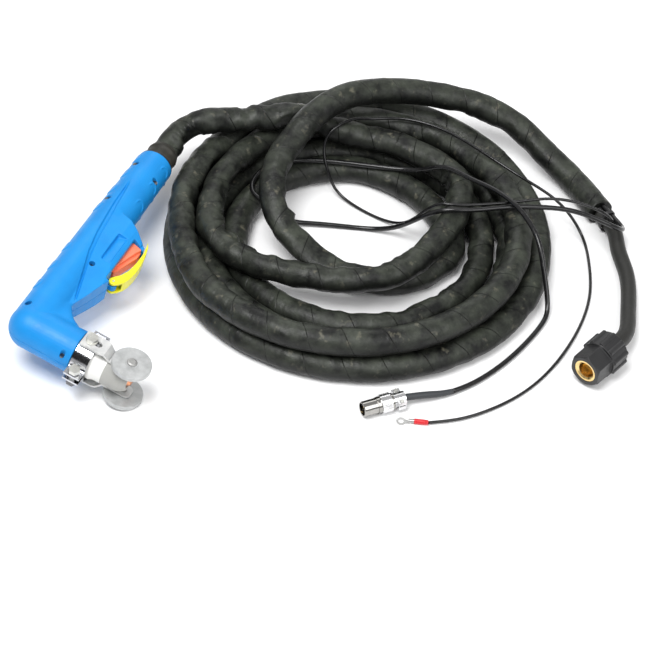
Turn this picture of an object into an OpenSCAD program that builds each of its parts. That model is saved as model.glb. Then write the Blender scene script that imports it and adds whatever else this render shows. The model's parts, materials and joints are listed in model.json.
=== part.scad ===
// Hand-held plasma cutting torch with a two-wheel roller guide and a coiled, sleeved lead.
// Millimetres. +Z is up, the handle lies along +X and the head points to -Y.
// The origin is the bottom centre of the torch, measured without the lead and what hangs on it.

/* [Handle] */
// Distance from the head axis to the rear end of the handle
handle_length = 260; // [235:1:290]
// Radius of the grip next to the elbow
grip_front_radius = 21; // [20:0.1:22]
// Radius of the grip at its rear end
grip_rear_radius = 18.7; // [18:0.1:20]
// Wall thickness of the handle shells
shell_wall = 2.6; // [2:0.1:3]
// Angle between the handle and the head
head_angle = 91; // [88:0.5:94]
// Length of the handle's front cylinder, from the handle axis
neck_length = 50.5; // [50:0.1:50.8]
// Radius of the handle's front cylinder
neck_radius = 21.5; // [21.2:0.1:21.8]
// Roll of the whole torch about the handle axis as it lies
roll = 12; // [10:0.5:13]
// Height of the raised grip pads above the grip
pad_height = 0.7; // [0.4:0.1:1]
// Radius of the raised grip pads
pad_radius = 6.5; // [5:0.1:7]

/* [Trigger and cover] */
// Half width of the trigger
trigger_half_width = 9.5; // [9:0.1:9.5]
// Radius of the trigger pin
trigger_pin_radius = 1.5; // [1.2:0.05:1.8]
// Half width of the safety cover
cover_half_width = 7; // [6.8:0.1:8.6]
// Radius of the cover pin
cover_pin_radius = 1.25; // [1:0.05:1.5]
// Wire radius of both return springs
spring_wire_radius = 0.35; // [0.25:0.05:0.45]

/* [Cutting head] */
// Radius of the head body under the clamp band
head_radius = 19.8; // [19.4:0.1:20]
// Radius of the head body inside the handle
head_stem_radius = 15.5; // [14.5:0.1:15.6]
// Radius of the electrode holder
holder_radius = 7; // [6:0.1:7.5]
// Radius of the electrode
electrode_radius = 4.5; // [4:0.1:4.6]
// Largest radius of the retaining cap
cap_radius = 17.6; // [17:0.1:18]
// Radius of the shield cap
shield_radius = 15.8; // [15:0.1:15.8]
// Radius of the shield cap's opening
shield_opening = 8.2; // [8:0.1:9]
// Radius of the nozzle orifice
orifice_radius = 0.75; // [0.5:0.05:1]
// Radius of the power and gas tube
gas_tube_radius = 5; // [4:0.1:5.2]

/* [Roller guide] */
// Sheet thickness of the clamp band
band_wall = 1.9; // [1.5:0.1:2]
// Axial width of the clamp band
band_width = 16.5; // [15:0.1:17]
// Thread radius of the guide's bolts
bolt_radius = 3; // [2.5:0.1:3]
// Width across the flats of the guide's bolt heads and nut
bolt_flats = 10; // [9:0.1:10.5]
// Thickness of the guide arms
arm_thickness = 2; // [1.8:0.1:2]
// Width of the guide arms at the band
arm_width = 19; // [17:0.5:20]
// Radius of the guide wheels
wheel_radius = 19; // [17:0.5:20]
// Thickness of the guide wheels
wheel_thickness = 5.1; // [4.5:0.1:5.5]
// Distance from the handle axis to the wheel axles
wheel_distance = 103; // [101:0.5:105]
// Radius of the wheel axles
axle_radius = 3; // [2.5:0.1:3.5]

/* [Sleeved lead] */
// Radius of the sleeve over the hose and wires
sleeve_radius = 13; // [12.5:0.1:13.1]
// Outer radius of the cuff on the handle
cuff_radius = 15.5; // [15:0.1:16]
// Length of the cuff
cuff_length = 22; // [18:1:24]
// Radius of the power and gas hose
hose_radius = 7.8; // [7:0.1:8]
// Radius of the control cable
cable_radius = 2.5; // [2:0.1:2.6]
// Radius of the pilot lead
pilot_radius = 1.5; // [1.2:0.1:1.6]
// Radius of the boot behind the control plug
boot_radius = 3.4; // [3.1:0.1:3.5]
// Width of the cable tie
tie_width = 4; // [3:0.5:5]

/* [Coil] */
// Largest radius of the coil, to the middle of the sleeve
coil_radius = 190.5; // [189:0.5:193]
// Steady distance from one loop to the next
coil_pitch = 28.3; // [28.3:0.1:28.8]
// Distance from the coil's middle to the torch's middle along the handle
coil_x = 160; // [158:1:162]
// Distance from the coil's middle to the torch's middle across the handle
coil_y = -155; // [-158:1:-154]

/* [Power connector] */
// Radius over the ribs of the connector nut
nut_rib_radius = 20; // [19:0.1:20.5]
// Corner radius of the connector nut's hexagon
nut_hex_radius = 17.5; // [17:0.1:18.5]
// Length of the connector nut
nut_length = 45; // [42:0.5:48]
// Inside radius of the brass thread
thread_radius = 8; // [7.8:0.1:8.2]
// Radius of the nipple's tail
nipple_radius = 6; // [5.5:0.1:6.4]
// Gas bore radius of the nipple
nipple_bore = 3; // [2:0.1:3.5]

/* [Control plug and ring terminal] */
// Radius of the control plug's front barrel
plug_radius = 7.4; // [7:0.1:7.6]
// Radius of the control plug's coupling ring
ring_radius = 9.25; // [9:0.05:9.8]
// Length of the control plug
plug_length = 43; // [42:0.5:45]
// Radius of the ring terminal's eye
eye_radius = 4.6; // [4.2:0.1:5]
// Hole radius of the ring terminal
eye_hole = 2.7; // [2.1:0.1:2.9]
// Sheet thickness of the ring terminal
eye_thickness = 0.8; // [0.6:0.1:1]

/* [Hidden] */
$fn = 64;

// Fits and small gaps
free_gap = 0.4;
seat_gap = 0.1;
run_fit = 0.05;
push_fit = 0.02;
beyond = 60;

// Head stations, measured along the head axis from the handle axis
stem_start = 22;
collar_start = 50.9;
collar_end = 67;
nose_step = 74;
nose_end = 81.9;
nose_radius = 13.2;
nose_front_radius = 11;
cap_start = 67.3;
cap_end = 82;
shield_start = 82.1;
shield_end = 106;
flange_start = 94.3;
flange_end = 98;
flange_radius = 11;
nozzle_shoulder = 103;
nozzle_end = 108.4;
nozzle_tip_radius = 4.2;
electrode_seat = 80;
electrode_end = 98;
swirl_start = 82;
swirl_end = 94.2;
swirl_radius = 11.8;

// Roller guide stations
band_start = 51.5;
band_inner = head_radius + 0.3;
band_outer = band_inner + band_wall;
bolt_station = 60.2;
pinch_station = band_start + band_width / 2;
pinch_offset = 27;
hook_end = 31.5;
washer_thickness = 1.5;
bolt_head_height = 4;
arm_inside = band_outer + 0.3;
arm_outside = arm_inside + arm_thickness;
arm_end_inside = 16.4;
arm_end_outside = arm_end_inside + arm_thickness - 0.2;
arm_travel = 8;
slot_start = bolt_station - bolt_radius - 0.3;
slot_end = bolt_station + bolt_radius + arm_travel + 0.1;
wheel_inside = arm_end_outside + 0.7;
wheel_outside = wheel_inside + wheel_thickness;
wheel_chamfer = 0.6;
hub_radius = 6.5;
hub_height = 0.4;
axle_head_radius = 5;
axle_head_height = 1.1;

// Trigger and cover, in the torch's own plane
trigger_pivot = [107, -26];
trigger_reach = 38.3;
notch_reach = 38.9;
trigger_slot = trigger_half_width + 0.6;
notch_floor = -32.6;
cover_pivot = [92, -38.5];
cover_slot = 4.5;
ear_low = -4;
ear_high = 4.2 - 6 * spring_wire_radius - 0.4;
switch_from = [118, -20.8];
switch_to = [141, -7.2];
switch_half = 3.2;
plunger_x = 132;
plunger_radius = 1.4;
plunger_end = -25.2;
wire_radius = 0.8;
wire_y = -8.6;
wire_z = 2;
screw_radius = 1.5;
screw_head_radius = 2.8;
screw_seat = 9.5;
neck_screw_seat = 6;
screw_end = -7.5;
grip_screws = [
  [10.5, 11.8], [91, -13.8], [handle_length - 81, 14.2], [handle_length - 32, -13.6], [handle_length - 22, 13.2]
];
neck_screw_station = 42;
neck_screw_offset = 18.4;
neck_screw_radius = 1.2;
neck_screw_head = 2.2;

// The torch's box and how it lies
tail_end = handle_length + cuff_length;
elbow_radius = grip_front_radius + 0.3;
wheel_edge = wheel_distance * sin(head_angle) + wheel_radius - wheel_chamfer;
ear_end = 32.2;
front_reach = ear_end * sin(head_angle) - (band_start + band_width) * cos(head_angle);
wheel_reach = (wheel_distance * sin(head_angle) + wheel_radius) * cos(roll)
  + (wheel_outside - wheel_chamfer) * sin(roll);
back_reach = grip_front_radius - 0.08 + pad_height;
torch_x = -(tail_end - front_reach) / 2;
torch_y = (wheel_reach - back_reach) / 2;
torch_z = wheel_edge * sin(roll) + wheel_outside * cos(roll);

// Coil: two layers, out on the upper one and in again on the lower one
coil_hex = 13.9;
coil_sink = 0.5;
coil_low = coil_hex * sin(60) - coil_sink;
coil_high = 39.2;
coil_first_angle = -10;
coil_sweep = 1830;
coil_turn = 735;
coil_climb = 140;
coil_step = 15;
straight_end = 2 * sleeve_radius;

// Smooth inward shift of the loop, with its depth, middle and half width in degrees
function dip(depth, t, middle, half) =
  let (u = min(1, abs(t - middle) / half)) depth * pow(1 - pow(u, 4), 2);

// Radius, height and place of the sleeve's middle after t degrees of coil
function coil_r(t) = coil_radius - coil_pitch * abs(t - coil_turn) / 360
  - dip(58, t, 125, 106) - dip(10, t, 252, 54) - dip(10, t, 612, 54)
  - dip(6, t, 0, 60) - dip(6, t, coil_sweep, 60);
function coil_s(t) = min(1, max(0, (t - coil_turn + coil_climb / 2) / coil_climb));
function coil_z(t) = coil_high - (coil_high - coil_low) * (1 - cos(180 * coil_s(t))) / 2;
function coil_at(t) = [
  coil_x + coil_r(t) * cos(coil_first_angle - t),
  coil_y + coil_r(t) * sin(coil_first_angle - t),
  coil_z(t)
];
function coil_way(t) = [sin(coil_first_angle - t), -cos(coil_first_angle - t), 0];
coil_start = coil_at(0) - straight_end * coil_way(0);
coil_stop = coil_at(coil_sweep) + straight_end * coil_way(coil_sweep);
coil_points = concat([coil_start], [for (t = [0:coil_step:coil_sweep]) coil_at(t)], [coil_stop]);

// Least distance between loops, as the shape of the sleeve's six-sided section sees it
function hex_span(d, z) = max(abs(z), d * sin(60) + abs(z) * cos(60));
function span_between(a, b) = hex_span(norm([a.x - b.x, a.y - b.y]), a.z - b.z);
coil_least = min([
  for (i = [0:len(coil_points) - 1])
    for (j = [i + 8:1:len(coil_points) - 1])
      span_between(coil_points[i], coil_points[j])
]) - 2 * coil_hex * sin(60);
echo(least_gap_of_the_coil = coil_least);

// Free stretches of the lead and its wires, from end to end
lead_in_start = [torch_x + handle_length + 2.6, torch_y, torch_z];
lead_in_route = concat(
  [lead_in_start, [torch_x + tail_end + 2, torch_y, torch_z]],
  [[177, 49, 53.5], [192, 40.5, 60.5], [204.5, 26.5, 65.5], [215, 10, 66], [229, -12, 66], [248, -41, 66],
   [258, -58, 63.5], [265, -73, 57], [273, -94, 48.5], [283, -122, 42]],
  [coil_start]
);
loop_end = [315, -366, 13.2];
loop_way = [-0.614, -0.789, 0];
last_loop_route = concat(
  [coil_stop],
  [[196, -249, 13.2], [172, -250, 13.2], [148, -241, 13.2], [127, -222, 13.5], [114, -195, 14],
   [110, -161, 16], [114, -127, 24], [123, -102, 34], [138, -81, 45], [160, -68, 54], [184, -63, 62.5],
   [217, -66, 73.5],
   [249, -75, 82.3], [281, -91, 85.5], [308, -109, 80], [333, -133, 72], [350, -161, 66], [368, -206, 56],
   [371, -252, 42], [362, -290, 25], [347, -326, 14.5]],
  [loop_end]
);
bundle_side = [-loop_way.y, loop_way.x, 0];
hose_start = loop_end + [0, 0, -3.5];
hose_route = [
  hose_start, hose_start + 26 * loop_way, [274, -400, 9], [249, -416, 8], [220, -429, 8.5],
  [184, -440, 12], [152, -447, 17]
];
cable_start = loop_end + [0, 0, 7.6] + 2.6 * bundle_side;
cable_route = [
  cable_start, cable_start + 24 * loop_way, [287, -398, 26], [273, -394, 37], [266, -376, 46], [261, -350, 51],
  [249, -322, 54], [230, -290, 56], [210, -260, 56], [199, -236, 54.6], [196, -213, 38], [197, -190, 16],
  [196, -166, 4], [186, -135, 3], [175, -107, 4], [164, -84, 9], [157, -64, 27], [163, -47, 29.5],
  [179, -38, 29.5], [200, -39, 29.5], [219, -50, 29.5], [235, -74, 29.5], [247, -104, 29.5],
  [258, -140, 29.5], [265, -174, 33], [264, -196, 44], [261, -215, 55], [254, -243, 57], [247, -265, 60],
  [239, -284, 62], [229, -302, 62], [217, -319, 58.5], [202, -335, 52], [186, -348, 36], [173, -358, 20],
  [160, -365, 7], [144, -366, 3], [102, -359, 3], [66, -348, 3], [36, -334, 3.3], [17, -321, 4]
];
cable_last_way = unit(cable_route[len(cable_route) - 1] - cable_route[len(cable_route) - 2]);
pilot_start = loop_end + [0, 0, 7.6] - 2.6 * bundle_side;
pilot_route = [
  pilot_start, pilot_start + 24 * loop_way, [289, -383, 33], [281, -371, 45], [274, -350, 52], [263, -325, 55.5],
  [244, -298, 56], [225, -270, 56], [209, -243, 57], [206, -228, 54], [205, -212, 37], [208, -193, 14],
  [214, -168, 3], [220, -138, 2.5], [229, -110, 8], [234, -97, 26], [241, -89, 42], [250, -88, 55],
  [259, -93, 62.5], [270, -99, 64], [282, -106, 62], [295, -118, 57], [309, -141, 56], [315, -172, 56],
  [310, -208, 56], [297, -250, 54], [290, -291, 46], [292, -322, 32], [291, -345, 14], [279, -362, 3],
  [252, -377, 2], [210, -393, 2], [165, -400, 2], [121, -399, 2], [78, -392, 2], [42, -379, 2],
  [12, -361, 2.3], [-12, -340, 2.6]
];
tie_station = 14;

// Connector, plug and terminal: front centre and direction of the axis
connector_front = [83, -428.7, nut_rib_radius];
connector_turn = 162.9;
nut_hex_length = 22;
nut_wall_rear = 26;
insert_radius = 11.5;
insert_length = 19;
thread_length = 12;
nipple_head = 7.5;
rib_count = 10;
rib_radius = 3;
plug_front = [-48, -255, ring_radius + 0.05];
plug_turn = 136.9;
barrel_length = 14.5;
shell_radius = plug_radius + 0.6;
shell_length = 31;
ring_from = 28.5;
ring_to = 18;
clamp_radius = 7;
clamp_lug = 4.5;
clamp_screw_side = clamp_radius + 0.3;
terminal_at = [-38, -291, 0];
terminal_turn = -71.6;
terminal_axis = 2.6;
terminal_reach = 12;
terminal_sleeve_length = 13.3;

// ---- placement ----

// Torch plane: the handle along X, the head towards -Y
module torch_place() {
  translate([torch_x, torch_y, torch_z]) rotate([roll, 0, 0]) children();
}

// Along the handle: Z runs to the rear end, X points up
module on_handle() {
  rotate([0, 90, 0]) rotate([0, 0, 180]) children();
}

// Along the head: Z runs to the nozzle, X points up, +Y is the side away from the handle
module on_head() {
  rotate([0, 0, -head_angle]) rotate([0, 90, 0]) rotate([0, 0, 180]) children();
}

// Upper side as it is, lower side mirrored
module lower_side() {
  mirror([1, 0, 0]) children();
}

// Flat outline drawn in the torch plane, as thick as asked on both sides
module plate(half, outline) {
  translate([0, 0, -half]) linear_extrude(2 * half) polygon(outline);
}

// ---- swept tubes ----

function unit(v) = v / norm(v);
function way(p, i) =
  i == 0 ? unit(p[1] - p[0]) :
  i == len(p) - 1 ? unit(p[i] - p[i - 1]) :
  unit(unit(p[i] - p[i - 1]) + unit(p[i + 1] - p[i]));
function above_floor(v) = [v.x, v.y, max(0, v.z)];
function tube_ring(p, t, r, n) =
  let (side = unit(cross(t, [0, 0, 1])), rise = cross(side, t))
  [for (k = [0:n - 1]) above_floor(p + r * cos(360 * k / n) * side + r * sin(360 * k / n) * rise)];
function tube_points(p, r, n, first, last) = [
  for (i = [0:len(p) - 1])
    for (v = tube_ring(p[i], i == 0 ? first : i == len(p) - 1 ? last : way(p, i), r, n)) v
];
function tube_sides(count, n) = [
  for (i = [0:count - 2])
    for (k = [0:n - 1])
      for (f = [
        [i * n + k, i * n + (k + 1) % n, (i + 1) * n + k],
        [i * n + (k + 1) % n, (i + 1) * n + (k + 1) % n, (i + 1) * n + k]
      ]) f
];
function tube_ends(count, n) = concat(
  [for (k = [1:n - 2]) [0, k + 1, k]],
  [for (k = [1:n - 2]) [(count - 1) * n, (count - 1) * n + k, (count - 1) * n + k + 1]]
);

// Round piece along a route, square to the directions given for its two ends
module tube(p, r, n, first, last) {
  polyhedron(
    points = tube_points(p, r, n, first, last),
    faces = concat(tube_sides(len(p), n), tube_ends(len(p), n))
  );
}

// ---- handle ----

// Outside of the grip, grown evenly by what is asked
module grip_outside(grow) {
  on_handle() rotate_extrude() polygon([
    [0, 0],
    [grip_front_radius + grow, 0],
    [grip_front_radius - 0.3 + grow, handle_length * 0.62],
    [grip_rear_radius + 1 + grow, handle_length * 0.78],
    [grip_rear_radius + grow, handle_length],
    [0, handle_length]
  ]);
}

// Room inside the grip
module grip_inside() {
  on_handle() rotate_extrude() polygon([
    [0, 0],
    [grip_front_radius - shell_wall, 0],
    [grip_front_radius - 0.3 - shell_wall, handle_length * 0.62],
    [grip_rear_radius + 1 - shell_wall, handle_length * 0.78],
    [grip_rear_radius - shell_wall, handle_length - 4],
    [sleeve_radius + 0.6, handle_length - 4],
    [sleeve_radius + 0.6, handle_length + 1],
    [0, handle_length + 1]
  ]);
}

// Trigger housing with its flat, tapering flanks
module housing_outside() {
  intersection() {
    plate(beyond, [
      [30, -12], [35.3, -20.5], [56, -28], [84.2, -36.8], [84.2, notch_floor],
      [140, notch_floor], [140, -45.2], [145.5, -44.6], [154.1, -32.6], [161.6, -19.9], [164.2, -11],
      [167.3, -3.1], [173.8, 2.7], [119.5, -4.8], [93.5, -10.3], [58.2, -16]
    ]);
    rotate([-90, 0, 0]) translate([0, 0, -beyond]) linear_extrude(2 * beyond) polygon([
      [25, -11.5], [36, -11.5], [120, -19.2], [235, -19.2], [235, 19.2], [120, 19.2], [36, 11.5], [25, 11.5]
    ]);
    rotate([90, 0, 90]) linear_extrude(beyond * 4) polygon([
      [8, -19.2], [-20, -19.2], [-29, -17.4], [-46, -8.5], [-46, 8.5], [-29, 17.4], [-20, 19.2], [8, 19.2]
    ]);
  }
}

// Web that fills the inner corner of the elbow
module elbow_web() {
  plate(12.6, [[5, -5], [5, -40], [21, -40], [25, -31], [36, -23.5], [36, -5]]);
}

// Pads along the back of the grip and finger arcs on its flank, on both sides
module grip_relief() {
  for (side = [-1, 1]) {
    for (x = [43, 72, 101, handle_length - 94, handle_length - 64, handle_length - 37, handle_length - 11])
      translate([x, 0, 0]) rotate([side * 27, 0, 0]) rotate([-90, 0, 0])
        cylinder(r = pad_radius, h = beyond);
    for (x = [handle_length - 69, handle_length - 40, handle_length - 13])
      translate([x, 0, 0]) rotate([-side * 35, 0, 0]) rotate([90, 0, 0]) difference() {
        cylinder(r = pad_radius, h = beyond);
        translate([-2.4, 0, -1]) cylinder(r = pad_radius - 0.4, h = beyond + 2);
      }
  }
}

// Whole outside of the handle before it is split
module handle_outside() {
  grip_outside(0);
  sphere(r = elbow_radius);
  on_head() cylinder(r1 = neck_radius - 0.4, r2 = neck_radius, h = neck_length);
  elbow_web();
  housing_outside();
  intersection() {
    grip_outside(pad_height);
    grip_relief();
  }
}

// Room for the trigger, its switch and its notch between floor and post
module trigger_room() {
  plate(trigger_slot, [[98.5, -6], [146, -6], [146, -24.5], [98.5, -24.5]]);
  intersection() {
    translate([trigger_pivot.x, trigger_pivot.y, -trigger_slot])
      cylinder(r = notch_reach, h = 2 * trigger_slot);
    plate(trigger_slot, [[98.5, -15], [148, -15], [148, -beyond], [98.5, -beyond]]);
  }
  intersection() {
    translate([trigger_pivot.x, trigger_pivot.y, -beyond]) cylinder(r = notch_reach, h = 2 * beyond);
    plate(beyond, [[84.2, notch_floor], [148, notch_floor], [148, -beyond], [84.2, -beyond]]);
  }
  for (side = [-1, 1])
    translate([150, -51, side * 19.4]) cube([30, 20, 20], center = true);
}

// Shallow recess on each flank of the trigger housing
module flank_recess() {
  for (side = [-1, 1])
    translate([0, 0, side * (beyond + 16.6)])
      plate(beyond, [[139, -17.8], [138.7, -27.9], [100.8, -28.3], [102, -17.3]]);
}

// Ear that carries the cover between its two cheeks
module cover_ear() {
  translate([0, 0, ear_low]) linear_extrude(ear_high - ear_low) {
    translate(cover_pivot) circle(r = 4.2);
    polygon([[88, -30], [96, -30], [96, cover_pivot.y], [88, cover_pivot.y]]);
  }
}

// Posts inside the handle that the screws pull together, and ribs that hold switch and trigger pin
module handle_posts() {
  intersection() {
    union() {
      for (p = grip_screws) translate([p.x, p.y, -beyond]) cylinder(r = 3.8, h = 2 * beyond);
      for (side = [-1, 1]) {
        for (x = [121, 135])
          translate([x, -18.4, side > 0 ? switch_half + seat_gap : -beyond])
            cube([3, 8, beyond - switch_half - seat_gap]);
        translate([trigger_pivot.x - 3.5, trigger_pivot.y - 3.5, side > 0 ? trigger_slot : -beyond])
          cube([7, 7, beyond - trigger_slot]);
      }
      tube_rests();
    }
    union() {
      grip_outside(-0.5);
      sphere(r = elbow_radius - 0.5);
      intersection() {
        housing_outside();
        plate(beyond, [[50, -5], [160, -5], [160, notch_floor + 0.5], [50, notch_floor + 0.5]]);
      }
    }
  }
}

// Webs with a round seat for the power and gas tube
module tube_rests() {
  for (x = [62, 168, 210])
    translate([x, 0, 0]) on_handle() difference() {
      cylinder(r = beyond, h = 3);
      translate([0, 0, -1]) cylinder(r = gas_tube_radius + seat_gap, h = 5);
      for (side = [-1, 1])
        translate([side * wire_z, -wire_y, -1]) cylinder(r = wire_radius + seat_gap, h = 5, $fn = 32);
    }
}

// All openings for screws and pins
module handle_holes() {
  for (p = grip_screws) translate([p.x, p.y, 0]) {
    translate([0, 0, screw_seat]) cylinder(r = 3, h = beyond);
    translate([0, 0, screw_end - 1]) cylinder(r = screw_radius + push_fit, h = beyond);
  }
  on_head() for (side = [-1, 1]) translate([0, side * neck_screw_offset, neck_screw_station]) {
    rotate([0, 90, 0]) translate([0, 0, neck_screw_seat]) cylinder(r = neck_screw_head + 0.1, h = beyond);
    rotate([0, 90, 0]) translate([0, 0, screw_end - 1])
      cylinder(r = neck_screw_radius + push_fit, h = beyond);
  }
  translate([trigger_pivot.x, trigger_pivot.y, -trigger_slot - 2.2])
    cylinder(r = trigger_pin_radius + push_fit, h = 2 * trigger_slot + 4.4);
  translate([cover_pivot.x, cover_pivot.y, -cover_half_width])
    cylinder(r = cover_pin_radius + push_fit, h = 2 * cover_half_width);
}

// Handle with its room and openings, not yet split
module handle_body() {
  difference() {
    union() {
      difference() {
        handle_outside();
        grip_inside();
        sphere(r = elbow_radius - shell_wall - 0.6);
        on_head() cylinder(r = head_stem_radius + 0.3, h = neck_length + 1);
      }
      handle_posts();
    }
    trigger_room_cut();
    flank_recess();
    handle_holes();
  }
  cover_ear_drilled();
}

// The trigger's room, kept clear of the ribs beside the switch
module trigger_room_cut() {
  difference() {
    trigger_room();
    for (side = [-1, 1]) for (x = [121, 135])
      translate([x, -18.4, side > 0 ? switch_half + seat_gap : -trigger_slot - 1])
        cube([3, 8, trigger_slot - switch_half + 1]);
  }
}

module cover_ear_drilled() {
  difference() {
    cover_ear();
    translate([cover_pivot.x, cover_pivot.y, -cover_half_width])
      cylinder(r = cover_pin_radius + push_fit, h = 2 * cover_half_width);
  }
}

module handle_shell_upper() {
  color([0.09, 0.52, 0.92]) torch_place() intersection() {
    handle_body();
    translate([-50, -100, 0]) cube([handle_length + 100, 200, 100]);
  }
}

module handle_shell_lower() {
  color([0.09, 0.52, 0.92]) torch_place() intersection() {
    handle_body();
    translate([-50, -100, -100]) cube([handle_length + 100, 200, 100]);
  }
}

// Screw with a round head, its seat at the origin and its tip below
module round_screw(r, head, length) {
  translate([0, 0, -length]) cylinder(r = r, h = length);
  difference() {
    cylinder(r = head, h = 2);
    translate([0, 0, 1.2]) cube([head * 1.3, 0.7, 2], center = true);
  }
}

module handle_screws() {
  color([0.75, 0.76, 0.78]) torch_place() {
    for (p = grip_screws)
      translate([p.x, p.y, screw_seat]) round_screw(screw_radius, screw_head_radius, screw_seat - screw_end);
    on_head() for (side = [-1, 1])
      translate([neck_screw_seat, side * neck_screw_offset, neck_screw_station])
        rotate([0, 90, 0]) round_screw(neck_screw_radius, neck_screw_head, neck_screw_seat - screw_end);
  }
}

// ---- trigger, cover and switch ----

module trigger() {
  color([0.97, 0.36, 0.2]) torch_place() difference() {
    intersection() {
      translate([trigger_pivot.x, trigger_pivot.y, -beyond]) cylinder(r = trigger_reach, h = 2 * beyond);
      union() {
        plate(trigger_half_width, [
          [103, -22.5], [108, -21.6], [128, -25], [146, -29], [146, -45],
          [141.4, -43.2], [135.6, -40.7], [105.6, -31.6], [103, -30]
        ]);
        plate(trigger_half_width - 4, [
          [102.6, -28], [102.4, -33.6], [105, -34.7], [118.6, -38.8], [133, -43.4], [146, -43.8], [146, -33]
        ]);
      }
    }
    translate([trigger_pivot.x, trigger_pivot.y, -beyond])
      cylinder(r = trigger_pin_radius + run_fit, h = 2 * beyond);
    translate([trigger_pivot.x, trigger_pivot.y, trigger_half_width - 6 * spring_wire_radius - 0.8])
      cylinder(r = 4.9, h = 10);
    for (x = [112, 118, 124, 130])
      translate([x, -35.2 - (x - 104) * 0.29 - 1.9, 0]) cylinder(r = 0.6, h = 20, center = true, $fn = 24);
  }
}

module trigger_pin() {
  color([0.72, 0.73, 0.75]) torch_place()
    translate([trigger_pivot.x, trigger_pivot.y, -trigger_slot - 2])
      cylinder(r = trigger_pin_radius, h = 2 * trigger_slot + 4);
}

// Three touching turns of wire around a pin, with two short legs
module wound_spring(pin) {
  middle = pin + 0.25 + spring_wire_radius;
  for (i = [0:2])
    translate([0, 0, spring_wire_radius * (2 * i + 1)])
      rotate_extrude() translate([middle, 0]) circle(r = spring_wire_radius - 0.01 * i, $fn = 24);
  translate([middle, 0, spring_wire_radius]) rotate([90, 0, 0])
    cylinder(r = spring_wire_radius, h = 3.6, $fn = 24);
  translate([middle, 0, 5 * spring_wire_radius]) rotate([-90, 0, 0])
    cylinder(r = spring_wire_radius - 0.02, h = 3.2, $fn = 24);
  translate([middle - spring_wire_radius, -0.3, spring_wire_radius])
    cube([spring_wire_radius, 0.6, 4 * spring_wire_radius]);
}

module trigger_spring() {
  color([0.6, 0.61, 0.63]) torch_place()
    translate([trigger_pivot.x, trigger_pivot.y, trigger_half_width - 6 * spring_wire_radius - 0.4])
      rotate([0, 0, 180]) wound_spring(trigger_pin_radius);
}

module safety_cover() {
  color([0.98, 0.93, 0.12]) torch_place() difference() {
    union() {
      plate(cover_half_width, [
        [88.4, -41.4], [91.5, -44.6], [97.7, -48.4], [105, -50.4], [114, -51.4], [125, -51.2], [136.7, -49.8],
        [150, -46.8], [156.9, -43.1], [151.6, -44.4], [141, -46.2], [126, -46.2], [112, -44.5],
        [103, -41], [97, -36.4], [92, -34]
      ]);
      translate([cover_pivot.x, cover_pivot.y, -cover_half_width])
        cylinder(r = 4.6, h = 2 * cover_half_width);
    }
    translate([cover_pivot.x, cover_pivot.y, -cover_slot]) cylinder(r = 8.6, h = 2 * cover_slot);
    translate([cover_pivot.x, cover_pivot.y, -beyond])
      cylinder(r = cover_pin_radius + run_fit, h = 2 * beyond);
  }
}

module cover_pin() {
  color([0.72, 0.73, 0.75]) torch_place()
    translate([cover_pivot.x, cover_pivot.y, -cover_half_width + 0.2])
      cylinder(r = cover_pin_radius, h = 2 * cover_half_width - 0.4);
}

module cover_spring() {
  color([0.6, 0.61, 0.63]) torch_place()
    translate([cover_pivot.x, cover_pivot.y, ear_high + 0.25])
      rotate([0, 0, 90]) wound_spring(cover_pin_radius);
}

module microswitch() {
  color([0.12, 0.12, 0.13]) torch_place() difference() {
    translate([switch_from.x, switch_from.y, -switch_half])
      cube([switch_to.x - switch_from.x, switch_to.y - switch_from.y, 2 * switch_half]);
    translate([plunger_x, switch_from.y - 1, 0]) rotate([-90, 0, 0])
      cylinder(r = plunger_radius + run_fit, h = 9);
  }
}

module microswitch_plunger() {
  color([0.75, 0.12, 0.1]) torch_place()
    translate([plunger_x, plunger_end, 0]) rotate([-90, 0, 0]) cylinder(r = plunger_radius, h = 8.6);
}

module switch_wires() {
  color([0.7, 0.1, 0.1]) torch_place() for (side = [-1, 1])
    translate([switch_to.x, wire_y, side * wire_z]) rotate([0, 90, 0])
      cylinder(r = wire_radius, h = handle_length + 2.6 - switch_to.x, $fn = 32);
}

// ---- rear end ----

module handle_collar() {
  color([0.06, 0.06, 0.07]) torch_place() on_handle() translate([0, 0, handle_length])
    rotate_extrude() polygon([
      [sleeve_radius + 0.3, 0], [grip_rear_radius - 0.6, 0], [grip_rear_radius - 0.6, 1.8],
      [grip_rear_radius - 1.2, 2.4], [sleeve_radius + 0.3, 2.4]
    ]);
}

module sleeve_cuff() {
  color([0.11, 0.11, 0.1]) torch_place() on_handle() translate([0, 0, handle_length + 2.4])
    rotate_extrude() polygon([
      [sleeve_radius + 0.2, 0], [cuff_radius, 0], [cuff_radius, cuff_length - 5],
      [cuff_radius - 0.8, cuff_length - 2.8], [sleeve_radius + 0.2, cuff_length - 2.4]
    ]);
}

module power_gas_tube() {
  color([0.8, 0.6, 0.25]) torch_place() {
    on_handle() cylinder(r = gas_tube_radius, h = handle_length + 2.6);
    sphere(r = gas_tube_radius + 0.03);
    on_head() cylinder(r = gas_tube_radius - 0.03, h = stem_start + 2);
  }
}

// ---- cutting head ----

module head_body() {
  color([0.16, 0.16, 0.17]) torch_place() on_head() difference() {
    rotate_extrude() polygon([
      [gas_tube_radius + 0.2, stem_start], [head_stem_radius, stem_start], [head_stem_radius, collar_start],
      [head_radius, collar_start], [head_radius, collar_end - 0.6], [head_radius - 0.6, collar_end],
      [nose_radius, collar_end], [nose_radius, nose_step], [nose_front_radius, nose_step],
      [nose_front_radius, nose_end], [holder_radius + seat_gap, nose_end],
      [holder_radius + seat_gap, stem_start + 2], [gas_tube_radius + 0.2, stem_start + 2]
    ]);
    for (side = [-1, 1])
      translate([side * (head_radius + 8.2), 0, bolt_station]) rotate([0, 90, 0])
        cylinder(r = bolt_radius + 0.4, h = 20, center = true);
  }
}

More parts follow.
